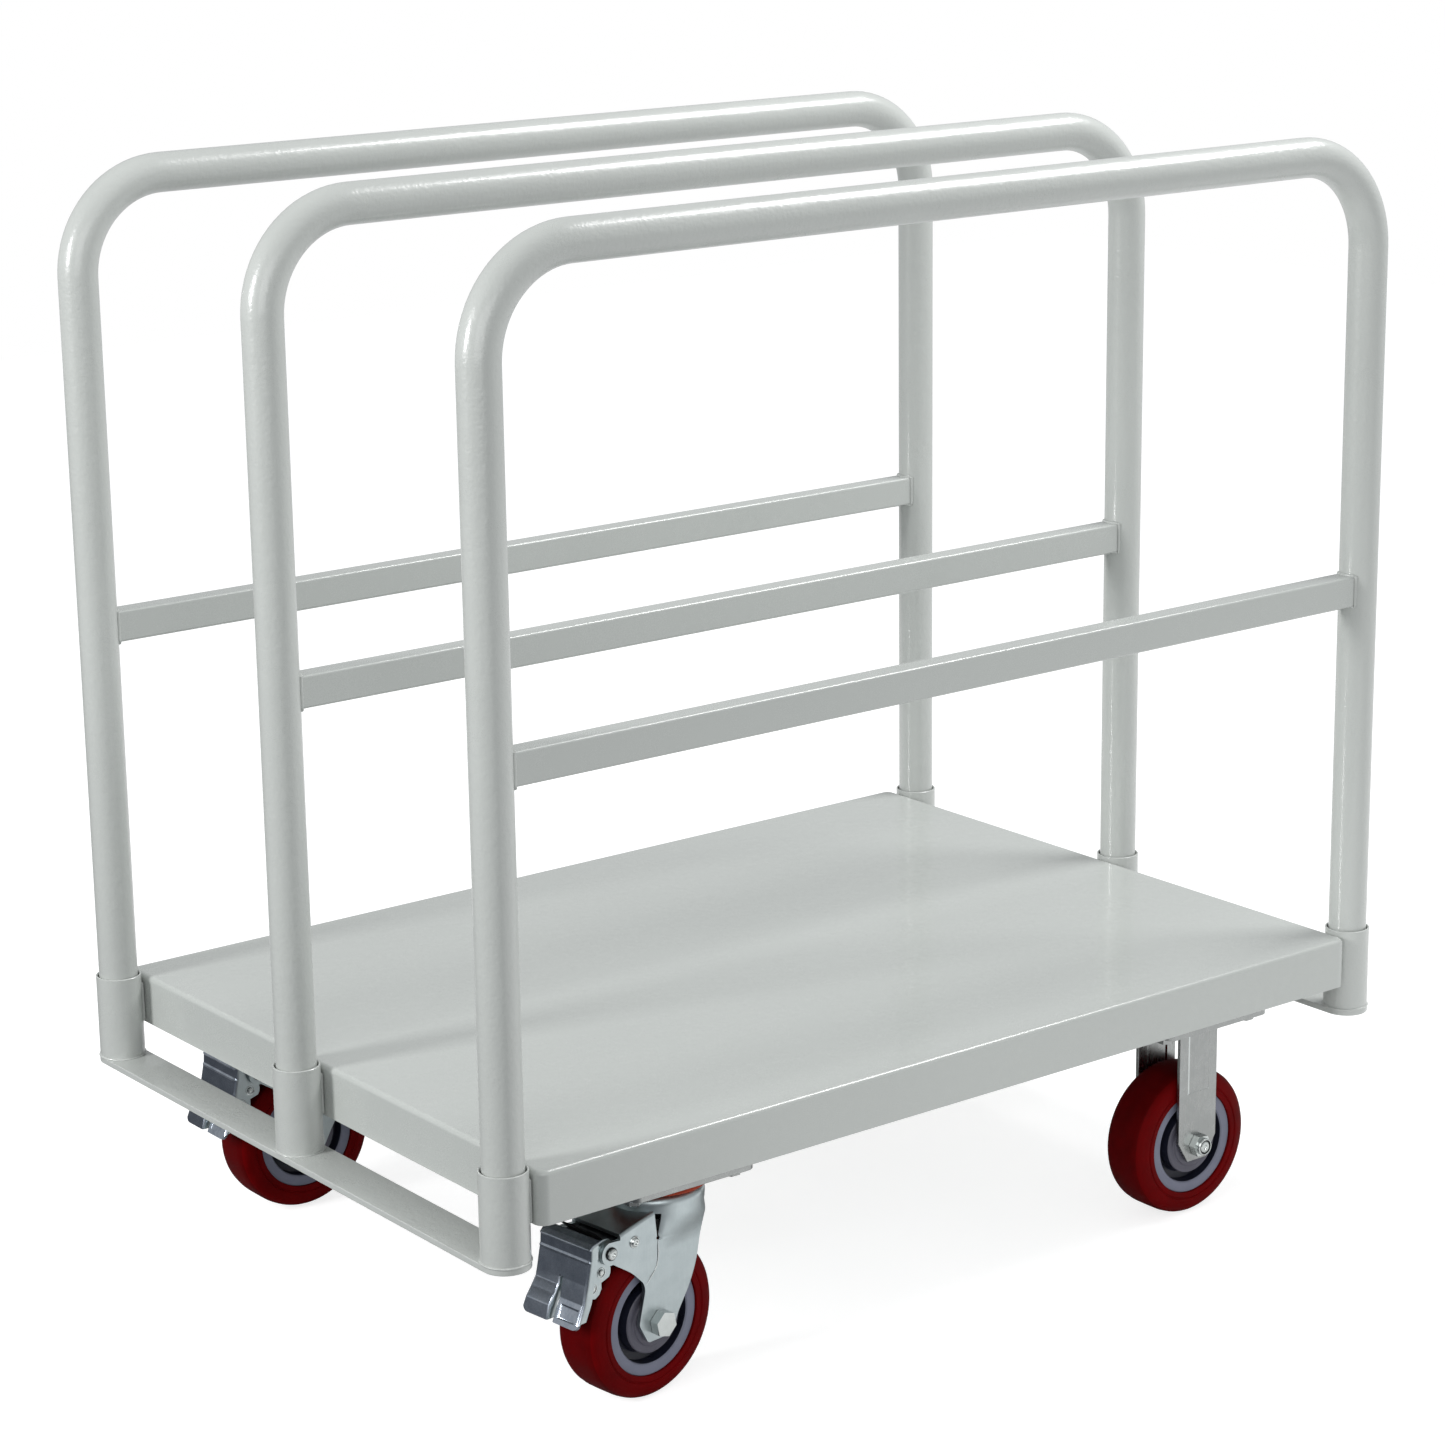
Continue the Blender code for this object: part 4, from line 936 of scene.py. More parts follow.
@dataclass
class Socket:
    """One round socket welded to the deck's end and to its tie bar."""

    end: End
    row: Row
    wall: float = 0.0015
    rim: float = 0.0005
    bead: float = 0.0014
    bead_angle: float = 24.0
    bead_start: float = 0.002
    bead_step: float = 0.0012

    @property
    def node(self) -> str:
        """Return the socket's node."""
        return f"socket_{self.end.word}_{self.row.word}"

    def tube(self) -> Shape:
        """Return the tube with a rounded rim.

        Returns:
            The tube.
        """
        low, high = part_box(self.node)
        centre = (low + high) / 2
        outer = (high.y - low.y) / 2
        inner, rim = outer - self.wall, self.rim
        profile = ((outer, low.z), (outer, high.z - rim), (outer - rim, high.z), (inner + rim, high.z),
                   (inner, high.z - rim), (inner, low.z))
        return Shape.turned(profile, 72, closed=True).shifted(centre.x, centre.y, 0)

    def welds(self) -> Shape:
        """Return the painted weld beads: two up the deck's end, and one round the socket's foot.

        Returns:
            The beads.
        """
        low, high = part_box(self.node)
        centre = (low + high) / 2
        outer = (high.y - low.y) / 2
        skirt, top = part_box("deck_pan")
        rings = range(int((top.z - skirt.z - 3 * self.bead_start) / self.bead_step))
        shape = Shape()
        for angle in (-self.bead_angle, self.bead_angle):
            inward, across = polar(outer + self.bead * 0.2, angle)
            x, y = centre.x - self.end.value * inward, centre.y + across
            shape.add(Shape.rope([(x, y, skirt.z + self.bead_start + self.bead_step * i) for i in rings],
                                 self.bead, 0.12))
        foot = [(*polar(outer + self.bead * 0.1, angle, centre), low.z) for angle in range(0, 365, 5)]
        return shape.add(Shape.rope(foot, self.bead * 0.7, 0.10))

    def build(self, fitter: Fitter) -> None:
        """Make the socket and its welds.

        Args:
            fitter: What makes the pieces.
        """
        name = self.node.replace("socket", "socket_tube")
        fitter.fit(name, self.tube(), "cart", [Coat.TUBE_PAINT], [self.node])
        fitter.fit(name.replace("tube", "welds"), self.welds(), "cart", [Coat.TUBE_PAINT])


@dataclass
class TieBar:
    """The flat bar with round ends that closes the sockets of one end from below."""

    end: End
    edge: float = 0.0006

    def build(self, fitter: Fitter) -> None:
        """Make the bar.

        Args:
            fitter: What makes the piece.
        """
        node = "tie_bar_" + self.end.word
        low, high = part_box(node)
        radius = (high.x - low.x) / 2
        x, reach = (low.x + high.x) / 2, (high.y - low.y) / 2 - radius
        outline = [polar(radius, start + 180 * i / 32, (x, y))
                   for start, y in ((0, reach), (180, -reach)) for i in range(33)]
        bar = Shape.sheet(outline, low.z, high.z).soften(self.edge, 3, 60)
        fitter.fit("tie_strip_" + self.end.word, bar, "cart", [Coat.TUBE_PAINT], [node])


@dataclass
class Hoop:
    """One lift-out hoop: a bent round tube and the rectangular rail welded between its legs."""

    row: Row
    tube: float = 0.016
    wall: float = 0.0015
    bend: float = 0.078
    bead: float = 0.0016
    corner: float = 0.0022
    cuts: int = 12
    facets: int = 48

    def bent_tube(self) -> Shape:
        """Sweep the tube up one leg, over the bar and down the other leg.

        Returns:
            The tube's outer skin, open at both feet.
        """
        low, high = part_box("hoop_tube_" + self.row.word)
        y = (low.y + high.y) / 2
        left, right, bar = low.x + self.tube, high.x - self.tube, high.z - self.tube
        shape = Shape()
        ring = bmesh.ops.create_circle(shape.bm, radius=self.tube, segments=self.facets)["verts"]
        bmesh.ops.translate(shape.bm, vec=(left, y, low.z), verts=ring)
        edges = list(shape.bm.edges)
        rise, across = bar - self.bend - low.z, right - left - 2 * self.bend
        for run, pivot in (((0, 0, rise), left + self.bend), ((across, 0, 0), right - self.bend),
                           ((0, 0, -rise), None)):
            for _ in range(self.cuts):
                ring, edges = shape.grown(edges)
                bmesh.ops.translate(shape.bm, vec=Vector(run) / self.cuts, verts=ring)
            if pivot is not None:
                turned = bmesh.ops.spin(shape.bm, geom=ring + edges, cent=(pivot, y, bar - self.bend),
                                        axis=(0, 1, 0), angle=math.pi / 2, steps=20)["geom_last"]
                edges = [item for item in turned if isinstance(item, bmesh.types.BMEdge)]
        return shape.tidy()

    def rail(self) -> Shape:
        """Return the rail, which reaches just into both legs.

        Returns:
            The rail.
        """
        low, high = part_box("hoop_rail_" + self.row.word)
        tube_low, tube_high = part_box("hoop_tube_" + self.row.word)
        reach = self.tube - self.wall * 0.6
        block = Shape.block((tube_low.x + self.tube + reach, low.y, low.z),
                            (tube_high.x - self.tube - reach, high.y, high.z))
        return block.round_off(block.reaching(X, self.tube), self.corner, 5)

    def welds(self) -> Shape:
        """Return the beads round both ends of the rail, laid along the legs' round faces.

        Returns:
            The beads.
        """
        low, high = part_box("hoop_rail_" + self.row.word)
        tube_low, tube_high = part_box("hoop_tube_" + self.row.word)
        centre, half = (low + high) / 2, (high - low) / 2
        corners = [(-half.y, -half.z), (half.y, -half.z), (half.y, half.z), (-half.y, half.z)]
        round_face = (self.tube + self.bead * 0.3) ** 2
        shape = Shape()
        for x, inward in ((tube_low.x + self.tube, 1), (tube_high.x - self.tube, -1)):
            loop = []
            for start, stop in zip(corners, corners[1:] + corners[:1]):
                for share in (i / 16 for i in range(16)):
                    across, up = (first + (last - first) * share for first, last in zip(start, stop))
                    reach = math.sqrt(max(0.0, round_face - across ** 2))
                    loop.append((x + inward * reach, centre.y + across, centre.z + up))
            shape.add(Shape.rope(loop + loop[:2], self.bead, 0.16))
        return shape

    def build(self, fitter: Fitter) -> None:
        """Make the hoop's three pieces.

        Args:
            fitter: What makes the pieces.
        """
        word, body = self.row.word, "hoop_" + self.row.word
        fitter.fit(body + "_bent_tube", self.bent_tube(), body, [Coat.TUBE_PAINT], ["hoop_tube_" + word],
                   wall=self.wall)
        fitter.fit(body + "_mid_rail", self.rail(), body, [Coat.DECK_PAINT], ["hoop_rail_" + word])
        fitter.fit(body + "_rail_welds", self.welds(), body, [Coat.TUBE_PAINT])


@dataclass
class Wheel:
    """A red tyre cast on a grey core, on its own axle bolt."""

    place: Matrix
    label: str
    body: str
    holder: str
    nut_faces_right: bool = False
    radius: float = AXLE_HEIGHT
    tread: float = 0.0426
    shoulder: float = 0.0085
    core: float = 0.0445
    rim: float = 0.0385
    flange: float = 0.0272
    steps: int = 96
    head_flats: float = 0.018
    head_height: float = 0.0079
    nut_flats: float = 0.017
    nut_height: float = 0.0065
    chamfer: float = 0.0006
    tip: float = -HALF_FORK - 0.0102
    pitch: float = 0.00125
    collar: tuple[Point, ...] = ((0.0058, 0.0060), (0.0058, 0.0092), (0.0062, 0.0099), (0.0068, 0.0099),
                                 (0.0074, 0.0092), (0.0075, 0.0060))
    insert: tuple[Point, ...] = ((0.0047, 0.0070), (0.0047, 0.0093), (0.0061, 0.0093), (0.0061, 0.0070))
    hub_side: tuple[Point, ...] = ((0.0083, 0.0215), (0.0192, 0.0215), (0.0200, 0.0211), (0.0206, 0.0200),
                                   (0.0216, 0.0196), (0.0226, 0.0198), (0.0240, 0.0199), (0.0262, 0.0197),
                                   (0.0270, 0.0188), (0.0277, 0.0092), (0.0290, 0.0084))

    def tyre(self) -> Shape:
        """Return the tyre: a nearly flat tread with round shoulders and straight sides.

        Returns:
            The tyre.
        """
        half, shoulder, top = self.tread / 2, self.shoulder, self.radius
        side = top - 0.0105
        arc = [(top - 0.0005 - shoulder * (1 - math.cos(a)),
                half - shoulder * 0.9 * (1 - math.sin(a)) - 0.0006)
               for a in (math.pi / 2 * i / 6 for i in range(6, -1, -1))]
        groove = [(side - 0.0044, half), (side - 0.0038, half - 0.0007), (side - 0.0030, half - 0.0007),
                  (side - 0.0024, half)]
        upper = [(self.core, half - 0.0004), (self.core + 0.0010, half), *groove, (side, half), *arc,
                 (top - 0.0001, half - shoulder - 0.002), (top, 0.004)]
        tyre = Shape.turned(mirrored(upper), self.steps, closed=True)
        # The outer running face wears the darker copy of the tread's red as painted shade.
        return tyre.band(1, top - 0.0015, top + MERGE, half).tipped()

    def hub(self) -> Shape:
        """Return the core: a broad rim, a sunk web and a hub flange with a coned nose, on both sides.

        Returns:
            The core.
        """
        half, lip, inner = self.rim / 2, 0.0010, self.core - 0.0082
        upper = [*self.hub_side, (inner - 0.0040, 0.0088), (inner - 0.0018, 0.0096),
                 (inner - lip, half - lip), (inner, half), (self.core - 0.0006, half),
                 (self.core, half - 0.0006)]
        core = Shape.turned(mirrored(upper), self.steps, closed=True)
        # The sunk web between the flange and the rim wears the near-black finish as painted shade of the
        # dish.
        core.band(1, self.flange, inner - 0.0004, half - 0.0008)
        return core.band(2, 0.0, self.flange, self.rim).tipped()

    def bolt(self) -> Shape:
        """Return the axle bolt: its chamfered head on one side and its threaded tip on the other.

        Returns:
            The bolt.
        """
        head = Shape.hexagon(self.head_flats, SEAT, SEAT + self.head_height, self.chamfer)
        tip = self.tip
        shank = [(0.0, tip + 0.0008), (0.0014, tip + 0.0008), (0.0020, tip), (0.0040, tip)]
        for turn in range(8):
            foot = tip + 0.0004 + self.pitch * turn
            shank += [(0.0049, foot + 0.0003), (0.0044, foot + 0.0009)]
        shank += [(0.005, 0.002 - HALF_FORK), (0.005, SEAT + 0.001), (0.0, SEAT + 0.001)]
        return head.moved(turn_z(12)).add(Shape.turned(shank, 32)).moved(self.facing).tipped()

    def nut(self) -> Shape:
        """Return the lock nut with its round collar and its black insert.

        Returns:
            The nut.
        """
        body = Shape.hexagon(self.nut_flats, SEAT, SEAT + self.nut_height, self.chamfer)
        collar, insert = (
            Shape.turned([(radius, SEAT + rise) for radius, rise in section], steps, closed=True)
            for section, steps in ((self.collar, 48), (self.insert, 40)))
        insert.tint(1, insert.bm.faces)
        return body.moved(turn_z(25)).add(collar, insert).moved(OVER).moved(self.facing).tipped()

    @property
    def facing(self) -> Matrix:
        """Return the half turn that brings the nut to the cart's right side, where it faces right."""
        return OVER if self.nut_faces_right else Matrix.Identity(4)

    def build(self, fitter: Fitter) -> None:
        """Make the wheel's pieces and its axle.

        Args:
            fitter: What makes the pieces.
        """
        for name, shape, body, coats, node in (
                ("tyre_cast", self.tyre(), self.body, [Coat.TREAD, Coat.TREAD_FACE], "tyre"),
                ("core_moulding", self.hub(), self.body, [Coat.RIM, Coat.WEB_SHADE, Coat.HUB], "wheel_core"),
                ("axle_screw", self.bolt(), self.holder, [Coat.BOLT_ZINC], "axle_bolt"),
                ("axle_lock_nut", self.nut(), self.holder, [Coat.BOLT_ZINC, Coat.BLACK_AND_SHADE], "axle_nut")):
            fitter.fit(f"{name}_{self.label}", shape.moved(self.place), body, coats, [f"{node}_{self.label}"])
        fitter.palette.dress_node("bearing_sleeve_" + self.label, Coat.STEEL)


@dataclass
class CasterPlate:
    """A caster's rounded top plate with the four bolts that hold it to its channel."""

    place: Matrix
    node: str
    boss: float = 0.0
    length: float = 0.114
    width: float = 0.102
    corner: float = 0.008
    low: float = 0.1735
    high: float = 0.178
    bolt_x: float = 0.046
    bolt_y: float = 0.0335
    shank: float = 0.0039
    flats: float = 0.013
    chamfer: float = 0.0008
    channel: float = 0.0036
    overlap: float = 0.001

    def sheet(self) -> Shape:
        """Return the plate itself, with the boss that seats the seal ring.

        Returns:
            The plate.
        """
        half = Vector((self.length / 2, self.width / 2))
        block = Shape.block((*-half, self.low), (*half, self.high))
        block.round_off(block.reaching(Z, MERGE), self.corner, 8).soften(0.0005, 3, 60)
        if self.boss:
            block.add(Shape.rod(self.boss, self.low - 0.004, self.low + self.overlap, 72))
        return block

    def bolt(self) -> Shape:
        """Return one bolt: head, shank, washer, nut and a rounded thread tip, on the kingpin's axis.

        Returns:
            The bolt.
        """
        seat = self.high + self.channel
        head = Shape.hexagon(self.flats, seat, seat + 0.0052, self.chamfer)
        washer = Shape.turned([(0.0, -0.0012), (0.0079, -0.0012), (0.0083, -0.0008), (0.0083, 0.0),
                               (0.0, 0.0)], 40)
        nut = Shape.hexagon(self.flats, 0.0012, 0.0066, self.chamfer).moved(OVER)
        tip = Shape.turned([(0.0, 0.0), (self.shank, 0.0), (self.shank, -0.0071), (0.0033, -0.0078),
                            (0.0, -0.0080)], 24)
        shank = Shape.rod(self.shank, self.low - self.overlap, seat + self.overlap)
        return washer.add(nut, tip).shifted(0, 0, self.low).add(head, shank)

    def build(self, fitter: Fitter) -> None:
        """Make the plate with its bolts.

        Args:
            fitter: What makes the piece.
        """
        plate = self.sheet()
        for number, (x, y) in enumerate(((1, 1), (1, -1), (-1, 1), (-1, -1))):
            bolt = self.bolt().moved(turn_z(11 + 17 * number))
            plate.add(bolt.shifted(x * self.bolt_x, y * self.bolt_y, 0))
        name = self.node.replace("plate", "top_plate")
        # The plate wears the duller yoke zinc, darkened as painted shade under the deck's skirt.
        fitter.fit(name, plate.moved(self.place), "cart", [Coat.YOKE_ZINC], [self.node])


@dataclass
class SwivelFork:
    """The pressed fork: a round crown that flares into two legs, and a roof between two cheeks."""

    place: Matrix
    side: Side
    crown_top: float = 0.1645
    dome: tuple[Point, ...] = ((0.0, 0.0), (0.0305, 0.0), (0.0326, 0.0008), (0.0347, 0.0024),
                               (0.0362, 0.0044), (0.0368, 0.0064), (0.0369, 0.0090))
    rim_low: float = 0.1505
    rim_radius: float = 0.0365
    notch: Point = (-0.024, 0.1311)
    relief: float = 0.0016
    flare_foot: float = 0.118
    steps: int = 96
    leg_first: float = 52.5
    leg_last: float = 127.5
    front_edge: tuple[Point, ...] = ((0.024, 0.141), (0.0155, 0.1015), (0.0085, 0.085), (-0.0035, 0.0665),
                                     (-0.0122, 0.050))
    back_edge: tuple[Point, ...] = ((-0.0358, 0.050), (-0.0445, 0.0665), (-0.0368, 0.0965), (-0.0508, 0.111))
    lobe: float = 0.0092
    roof: tuple[Point, ...] = ((-0.062, 0.145), (-0.027, 0.153))
    press_line: tuple[Point, ...] = ((-0.0240, 0.1290), (-0.0243, 0.1250), (-0.0241, 0.1205),
                                     (-0.0246, 0.1145), (-0.0256, 0.1100), (-0.0280, 0.1060),
                                     (-0.0318, 0.1025), (-0.0345, 0.0995), (-0.0362, 0.0972))
    rivet: Point = (-0.048, 0.135)
    rivet_head: tuple[Point, ...] = ((0.0, 0.0013), (0.0010, 0.0016), (0.0016, 0.0023), (0.0026, 0.0023),
                                     (0.0036, 0.0016), (0.0040, 0.0009), (0.0044, 0.0009), (0.0048, 0.0005),
                                     (0.0048, -0.001), (0.0035, -0.001))

    def front(self) -> list[Point]:
        """Return the front edge of a leg from the crown's rim to its tip."""
        return [(polar(self.rim_radius, self.leg_first)[0], self.rim_low), *self.front_edge]

    def back(self) -> list[Point]:
        """Return the back edge of a side from the leg's tip round the cheek up to the roof."""
        lobe = [polar(self.lobe, angle, PEDAL_PIN) for angle in range(-80, -261, -10)]
        return [*self.back_edge, *lobe, (-0.062, 0.1405)]

    @staticmethod
    def along(points: Sequence[Point], height: float) -> float:
        """Return how far forward an edge lies at a height.

        Args:
            points: The edge's corners from its top down, as (forward, height).
            height: The height.

        Returns:
            The place along X.
        """
        for (first, high), (second, low) in zip(points, points[1:]):
            if height >= low:
                return first + (second - first) * (high - height) / (high - low)
        return points[-1][0]

    def rear(self, height: float) -> float:
        """Return how far forward the notch's edge lies, round its relief hole, at a height.

        Args:
            height: The height.

        Returns:
            The place along X.
        """
        off = height - self.notch[1]
        if abs(off) < self.relief * 0.9:
            return self.notch[0] + math.sqrt(self.relief ** 2 - off ** 2)
        top = polar(self.rim_radius, self.leg_last)[0]
        return self.along(((top, self.rim_low), self.notch), height)

    def heights(self) -> list[float]:
        """Return the heights of the rows from the rim to the flat of a leg.

        Returns:
            The heights, from the top down.
        """
        above = [self.rim_low + (self.notch[1] + 0.0014 - self.rim_low) * i / 12 for i in range(1, 12)]
        hole = [polar(self.relief, angle, self.notch)[1] for angle in (60, 30, 0, -30, -60, -90)]
        below = [hole[-1] + (self.flare_foot - hole[-1]) * i / 9 for i in range(1, 10)]
        return above + hole + below

    def spot(self, start: Vector, height: float, share: float) -> Vector:
        """Return where a point of the rim comes to lie on a lower row.

        Args:
            start: The point's place on the rim.
            height: The row's height.
            share: How far forward the point lies between the notch and the front edge.

        Returns:
            The place.
        """
        foot = self.notch[1] if share < 0.001 else self.flare_foot
        left = max(0.0, 1.0 - (self.rim_low - height) / (self.rim_low - foot))
        bulge = (abs(start.y) - HALF_FORK) * left * left * (3.0 - 2.0 * left)
        rear, front = self.rear(height), self.along(self.front(), height)
        return Vector((rear + (front - rear) * share, math.copysign(HALF_FORK + bulge, start.y), height))

    def leg(self, shape: Shape, sign: int) -> tuple[bmesh.types.BMVert, bmesh.types.BMVert]:
        """Draw one side down from the rim and close its cheek.

        Args:
            shape: The mesh that holds the crown.
            sign: The side, along Y.

        Returns:
            The roof's rear and front corner on this side.
        """
        low, high = polar(1.0, self.leg_last)[0] - 0.001, polar(1.0, self.leg_first)[0] + 0.001
        rim = [vert for vert in shape.bm.verts if abs(vert.co.z - self.rim_low) < MERGE
               and vert.co.y * sign > 0 and low < vert.co.x / self.rim_radius < high]
        row = sorted(rim, key=lambda vert: vert.co.x)
        starts = [vert.co.copy() for vert in row]
        shares = [(start.x - starts[0].x) / (starts[-1].x - starts[0].x) for start in starts]
        rears = []
        for height in self.heights():
            spots = [self.spot(start, height, share) for start, share in zip(starts, shares)]
            row = shape.grown_row(row, spots)
            rears.append(row[0])
        hole_foot = self.notch[1] - self.relief + MERGE
        inner = [vert for vert in rears if vert.co.z < hole_foot]
        ring = [polar(self.relief, angle, self.notch) for angle in range(120, 270, 30)]
        outer = [point for point in self.front() if point[1] < self.flare_foot - MERGE] + self.back()
        border = [shape.bm.verts.new((x, sign * HALF_FORK, z)) for x, z in (*outer, *self.roof, *ring)]
        loop = border + inner + row[1:]
        edges = [shape.bm.edges.get(pair) or shape.bm.edges.new(pair)
                 for pair in zip(loop, loop[1:] + loop[:1])]
        bmesh.ops.edgeloop_fill(shape.bm, edges=edges)
        corners = border[len(outer)], border[len(outer) + 1]
        for chosen, width in ((border[:2], 0.006), (border[2:6], 0.0022), (border[6:8], 0.006)):
            shape.round_off(chosen, width, 5, "VERTICES", clamp=True)
        return corners

    def skin(self) -> Shape:
        """Return the fork's outer skin.

        Returns:
            The skin.
        """
        dome = [(radius, self.crown_top - drop) for radius, drop in self.dome]
        shape = Shape.turned([*dome, (self.rim_radius, self.rim_low)], self.steps)
        near, far = self.leg(shape, -1), self.leg(shape, 1)
        bmesh.ops.contextual_create(shape.bm, geom=[*near, *reversed(far)])
        shape.tidy()
        bends = [edge for edge in shape.bm.edges if set(edge.verts) in (set(near), set(far))]
        return shape.round_off(bends, 0.003, 5).facing(UP)

    def press_lines(self) -> Shape:
        """Return the raised line on both sides where the press folded the cheek behind the leg, in the
        brighter bolt zinc as a painted highlight.

        Returns:
            The two lines.
        """
        shape = Shape()
        for y in (-HALF_FORK - 0.0001, HALF_FORK + 0.0001):
            shape.add(Shape.rope([(x, y, z) for x, z in self.press_line], 0.0006, 0.35, 6))
        return shape

    def build(self, fitter: Fitter) -> None:
        """Make the fork, its press lines and its stop rivet.

        Args:
            fitter: What makes the pieces.
        """
        word, body = self.side.word, "swivel_" + self.side.word
        fitter.fit("pressed_fork_" + word, self.skin().moved(self.place), body, [Coat.ZINC],
                   ["swivel_fork_" + word], wall=FORK_SHEET, edge=0.0005)
        # The press lines wear the brighter bolt zinc as a painted highlight along the crease.
        fitter.fit("press_lines_" + word, self.press_lines().moved(self.place), body, [Coat.BOLT_ZINC])
        rivet = Shape.pin(HALF_FORK, self.rivet_head).tipped().shifted(self.rivet[0], 0, self.rivet[1])
        fitter.fit("stop_rivet_" + word, rivet.moved(self.place), body, [Coat.BOLT_ZINC])


@dataclass
class Brake:
    """The total lock: a stamped pedal, the link behind it, their pins and the shoe."""

    place: Matrix
    side: Side
    width: float = 0.057
    drop: float = 0.050
    flange: float = 0.0075
    slot: float = 0.0024
    sheet: float = 0.0024
    bend: float = 0.0028
    near_lip: float = 0.0034
    far_lip: float = 0.0085
    corner: float = 0.0052
    face: tuple[Point, ...] = ((-0.250, 0.290), (-0.385, 0.262), (-0.436, 0.212), (-0.457, 0.190),
                               (-0.442, 0.164), (-0.450, 0.024), (-0.474, -0.002), (-0.464, -0.032),
                               (-0.530, -0.350))
    left_leaf: tuple[Point, ...] = ((-0.560, -0.470), (-0.650, -0.600), (-0.760, -0.740), (-0.815, -0.960))
    right_leaf: tuple[Point, ...] = ((-0.562, -0.470), (-0.600, -0.640), (-0.765, -0.990))
    leaf_spring: tuple[Point, ...] = ((0.0220, 0.1336), (-0.0180, 0.1340), (-0.0300, 0.1472),
                                      (-0.0620, 0.1398), (-0.0690, 0.1392), (-0.0800, 0.1492))
    half_spring: float = 0.0196
    link_arm: float = 0.0777
    link_angles: tuple[float, float] = (134.6, 144.6)
    link_head: tuple[Point, ...] = ((0.0, 0.0010), (0.0016, 0.0012), (0.0024, 0.0008), (0.0028, -0.0014),
                                    (0.0035, -0.0014), (0.0036, 0.0003), (0.0041, 0.0004),
                                    (0.0045, -0.0008), (0.0045, -0.0020))
    pedal_head: tuple[Point, ...] = ((0.0, 0.0017), (0.0012, 0.0019), (0.0018, 0.0025), (0.0028, 0.0025),
                                     (0.0040, 0.0019), (0.0045, 0.0010), (0.0050, 0.0009),
                                     (0.0052, 0.0004), (0.0050, 0.0), (0.0038, 0.0))

    def pedal(self) -> Shape:
        """Return the pedal's outer skin, measured from its pin.

        Returns:
            The skin.
        """
        shape = Shape()
        half, slot = self.width / 2, self.slot / 2
        face, left_leaf, right_leaf = ([(x * self.drop, z * self.drop) for x, z in path]
                                       for path in (self.face, self.left_leaf, self.right_leaf))
        (x, z), low = face[0], face[-1][1] + MERGE
        row = shape.row([(x, y, z) for y in (-half, -slot, slot, half)])
        row = shape.drawn(row, face[1:])
        shape.drawn(row[:2], right_leaf)
        shape.drawn(row[2:], left_leaf)
        shape.tidy().facing(REARWARD)
        foot = min(vert.co.z for vert in shape.bm.verts) + 0.2 * self.drop
        corners = [vert for vert in shape.bm.verts if len(vert.link_faces) == 1 and vert.co.z < foot
                   and abs(abs(vert.co.y) - half) < MERGE]
        shape.round_off(corners, self.corner, 5, "VERTICES", clamp=True)
        pad = min((face for face in shape.bm.faces if face.calc_center_median().y < -slot),
                  key=lambda face: face.calc_center_median().z)
        for inset, depth in ((0.0040, 0.0), (0.0012, -0.0006)):
            bmesh.ops.inset_individual(shape.bm, faces=[pad], thickness=inset, depth=depth,
                                       use_even_offset=True)
        lips = [edge for edge in shape.bm.edges if len(edge.link_faces) == 1 and extent(edge, Y) < MERGE
                and beside(edge, slot) and all(vert.co.z < low for vert in edge.verts)]
        near = [edge for edge in lips if edge.verts[0].co.y < 0]
        far = [edge for edge in lips if edge.verts[0].co.y > 0]
        sides = [edge for edge in shape.bm.edges if beside(edge, half)]
        for chosen, reach, bend in ((near, self.near_lip, 0.0012), (far, self.far_lip, 0.0016),
                                    (sides, self.flange, self.bend)):
            bmesh.ops.translate(shape.bm, vec=(reach, 0, 0), verts=shape.grown(chosen)[0])
            shape.round_off(chosen, bend, 5)
        kinks = [edge for edge in shape.bm.edges
                 if len(edge.link_faces) == 2 and extent(edge, Z) < MERGE and edge.calc_length() > 0.002
                 and edge.calc_face_angle() > math.radians(3)]
        shape.round_off(kinks, 0.0005, 2)
        bmesh.ops.recalc_face_normals(shape.bm, faces=shape.bm.faces)
        shape.facing(REARWARD)
        # Faces that look sideways, the flanges and the lips, wear the brighter zinc and the rest the darker
        # pedal zinc: lit and shaded copies of one zinc, painted by the faces' direction.
        return shape.tint(1, [face for face in shape.bm.faces if abs(face.normal.y) > 0.8])

    def at_pin(self, shape: Shape) -> Shape:
        """Bring a shape that is measured from the pedal's pin to its place on the cart."""
        return shape.shifted(PEDAL_PIN[0], 0, PEDAL_PIN[1]).moved(self.place)

    def spring(self) -> Shape:
        """Return the black leaf spring under the roof, a dark sheet that closes the fork behind the pedal as
        painted shade of the fork's inside.

        Returns:
            The spring's upper skin.
        """
        shape = Shape()
        x, z = self.leaf_spring[0]
        row = shape.row([(x, y, z) for y in (-self.half_spring, self.half_spring)])
        shape.drawn(row, self.leaf_spring[1:])
        return shape.tidy().facing(UP)

    def link_pins(self) -> Shape:
        """Return the riveted ends of the link's two cross pins, each with a groove round its middle that is
        darkened as painted shade.

        Returns:
            The pins.
        """
        seat = HALF_FORK - FORK_SHEET - 0.0003
        shape = Shape()
        for angle in self.link_angles:
            x, z = polar(self.link_arm, angle, (-TRAIL, AXLE_HEIGHT))
            pin = Shape.pin(seat, self.link_head, 32).band(1, 0.0022, 0.0036, seat)
            shape.add(pin.tipped().shifted(x, 0, z))
        return shape

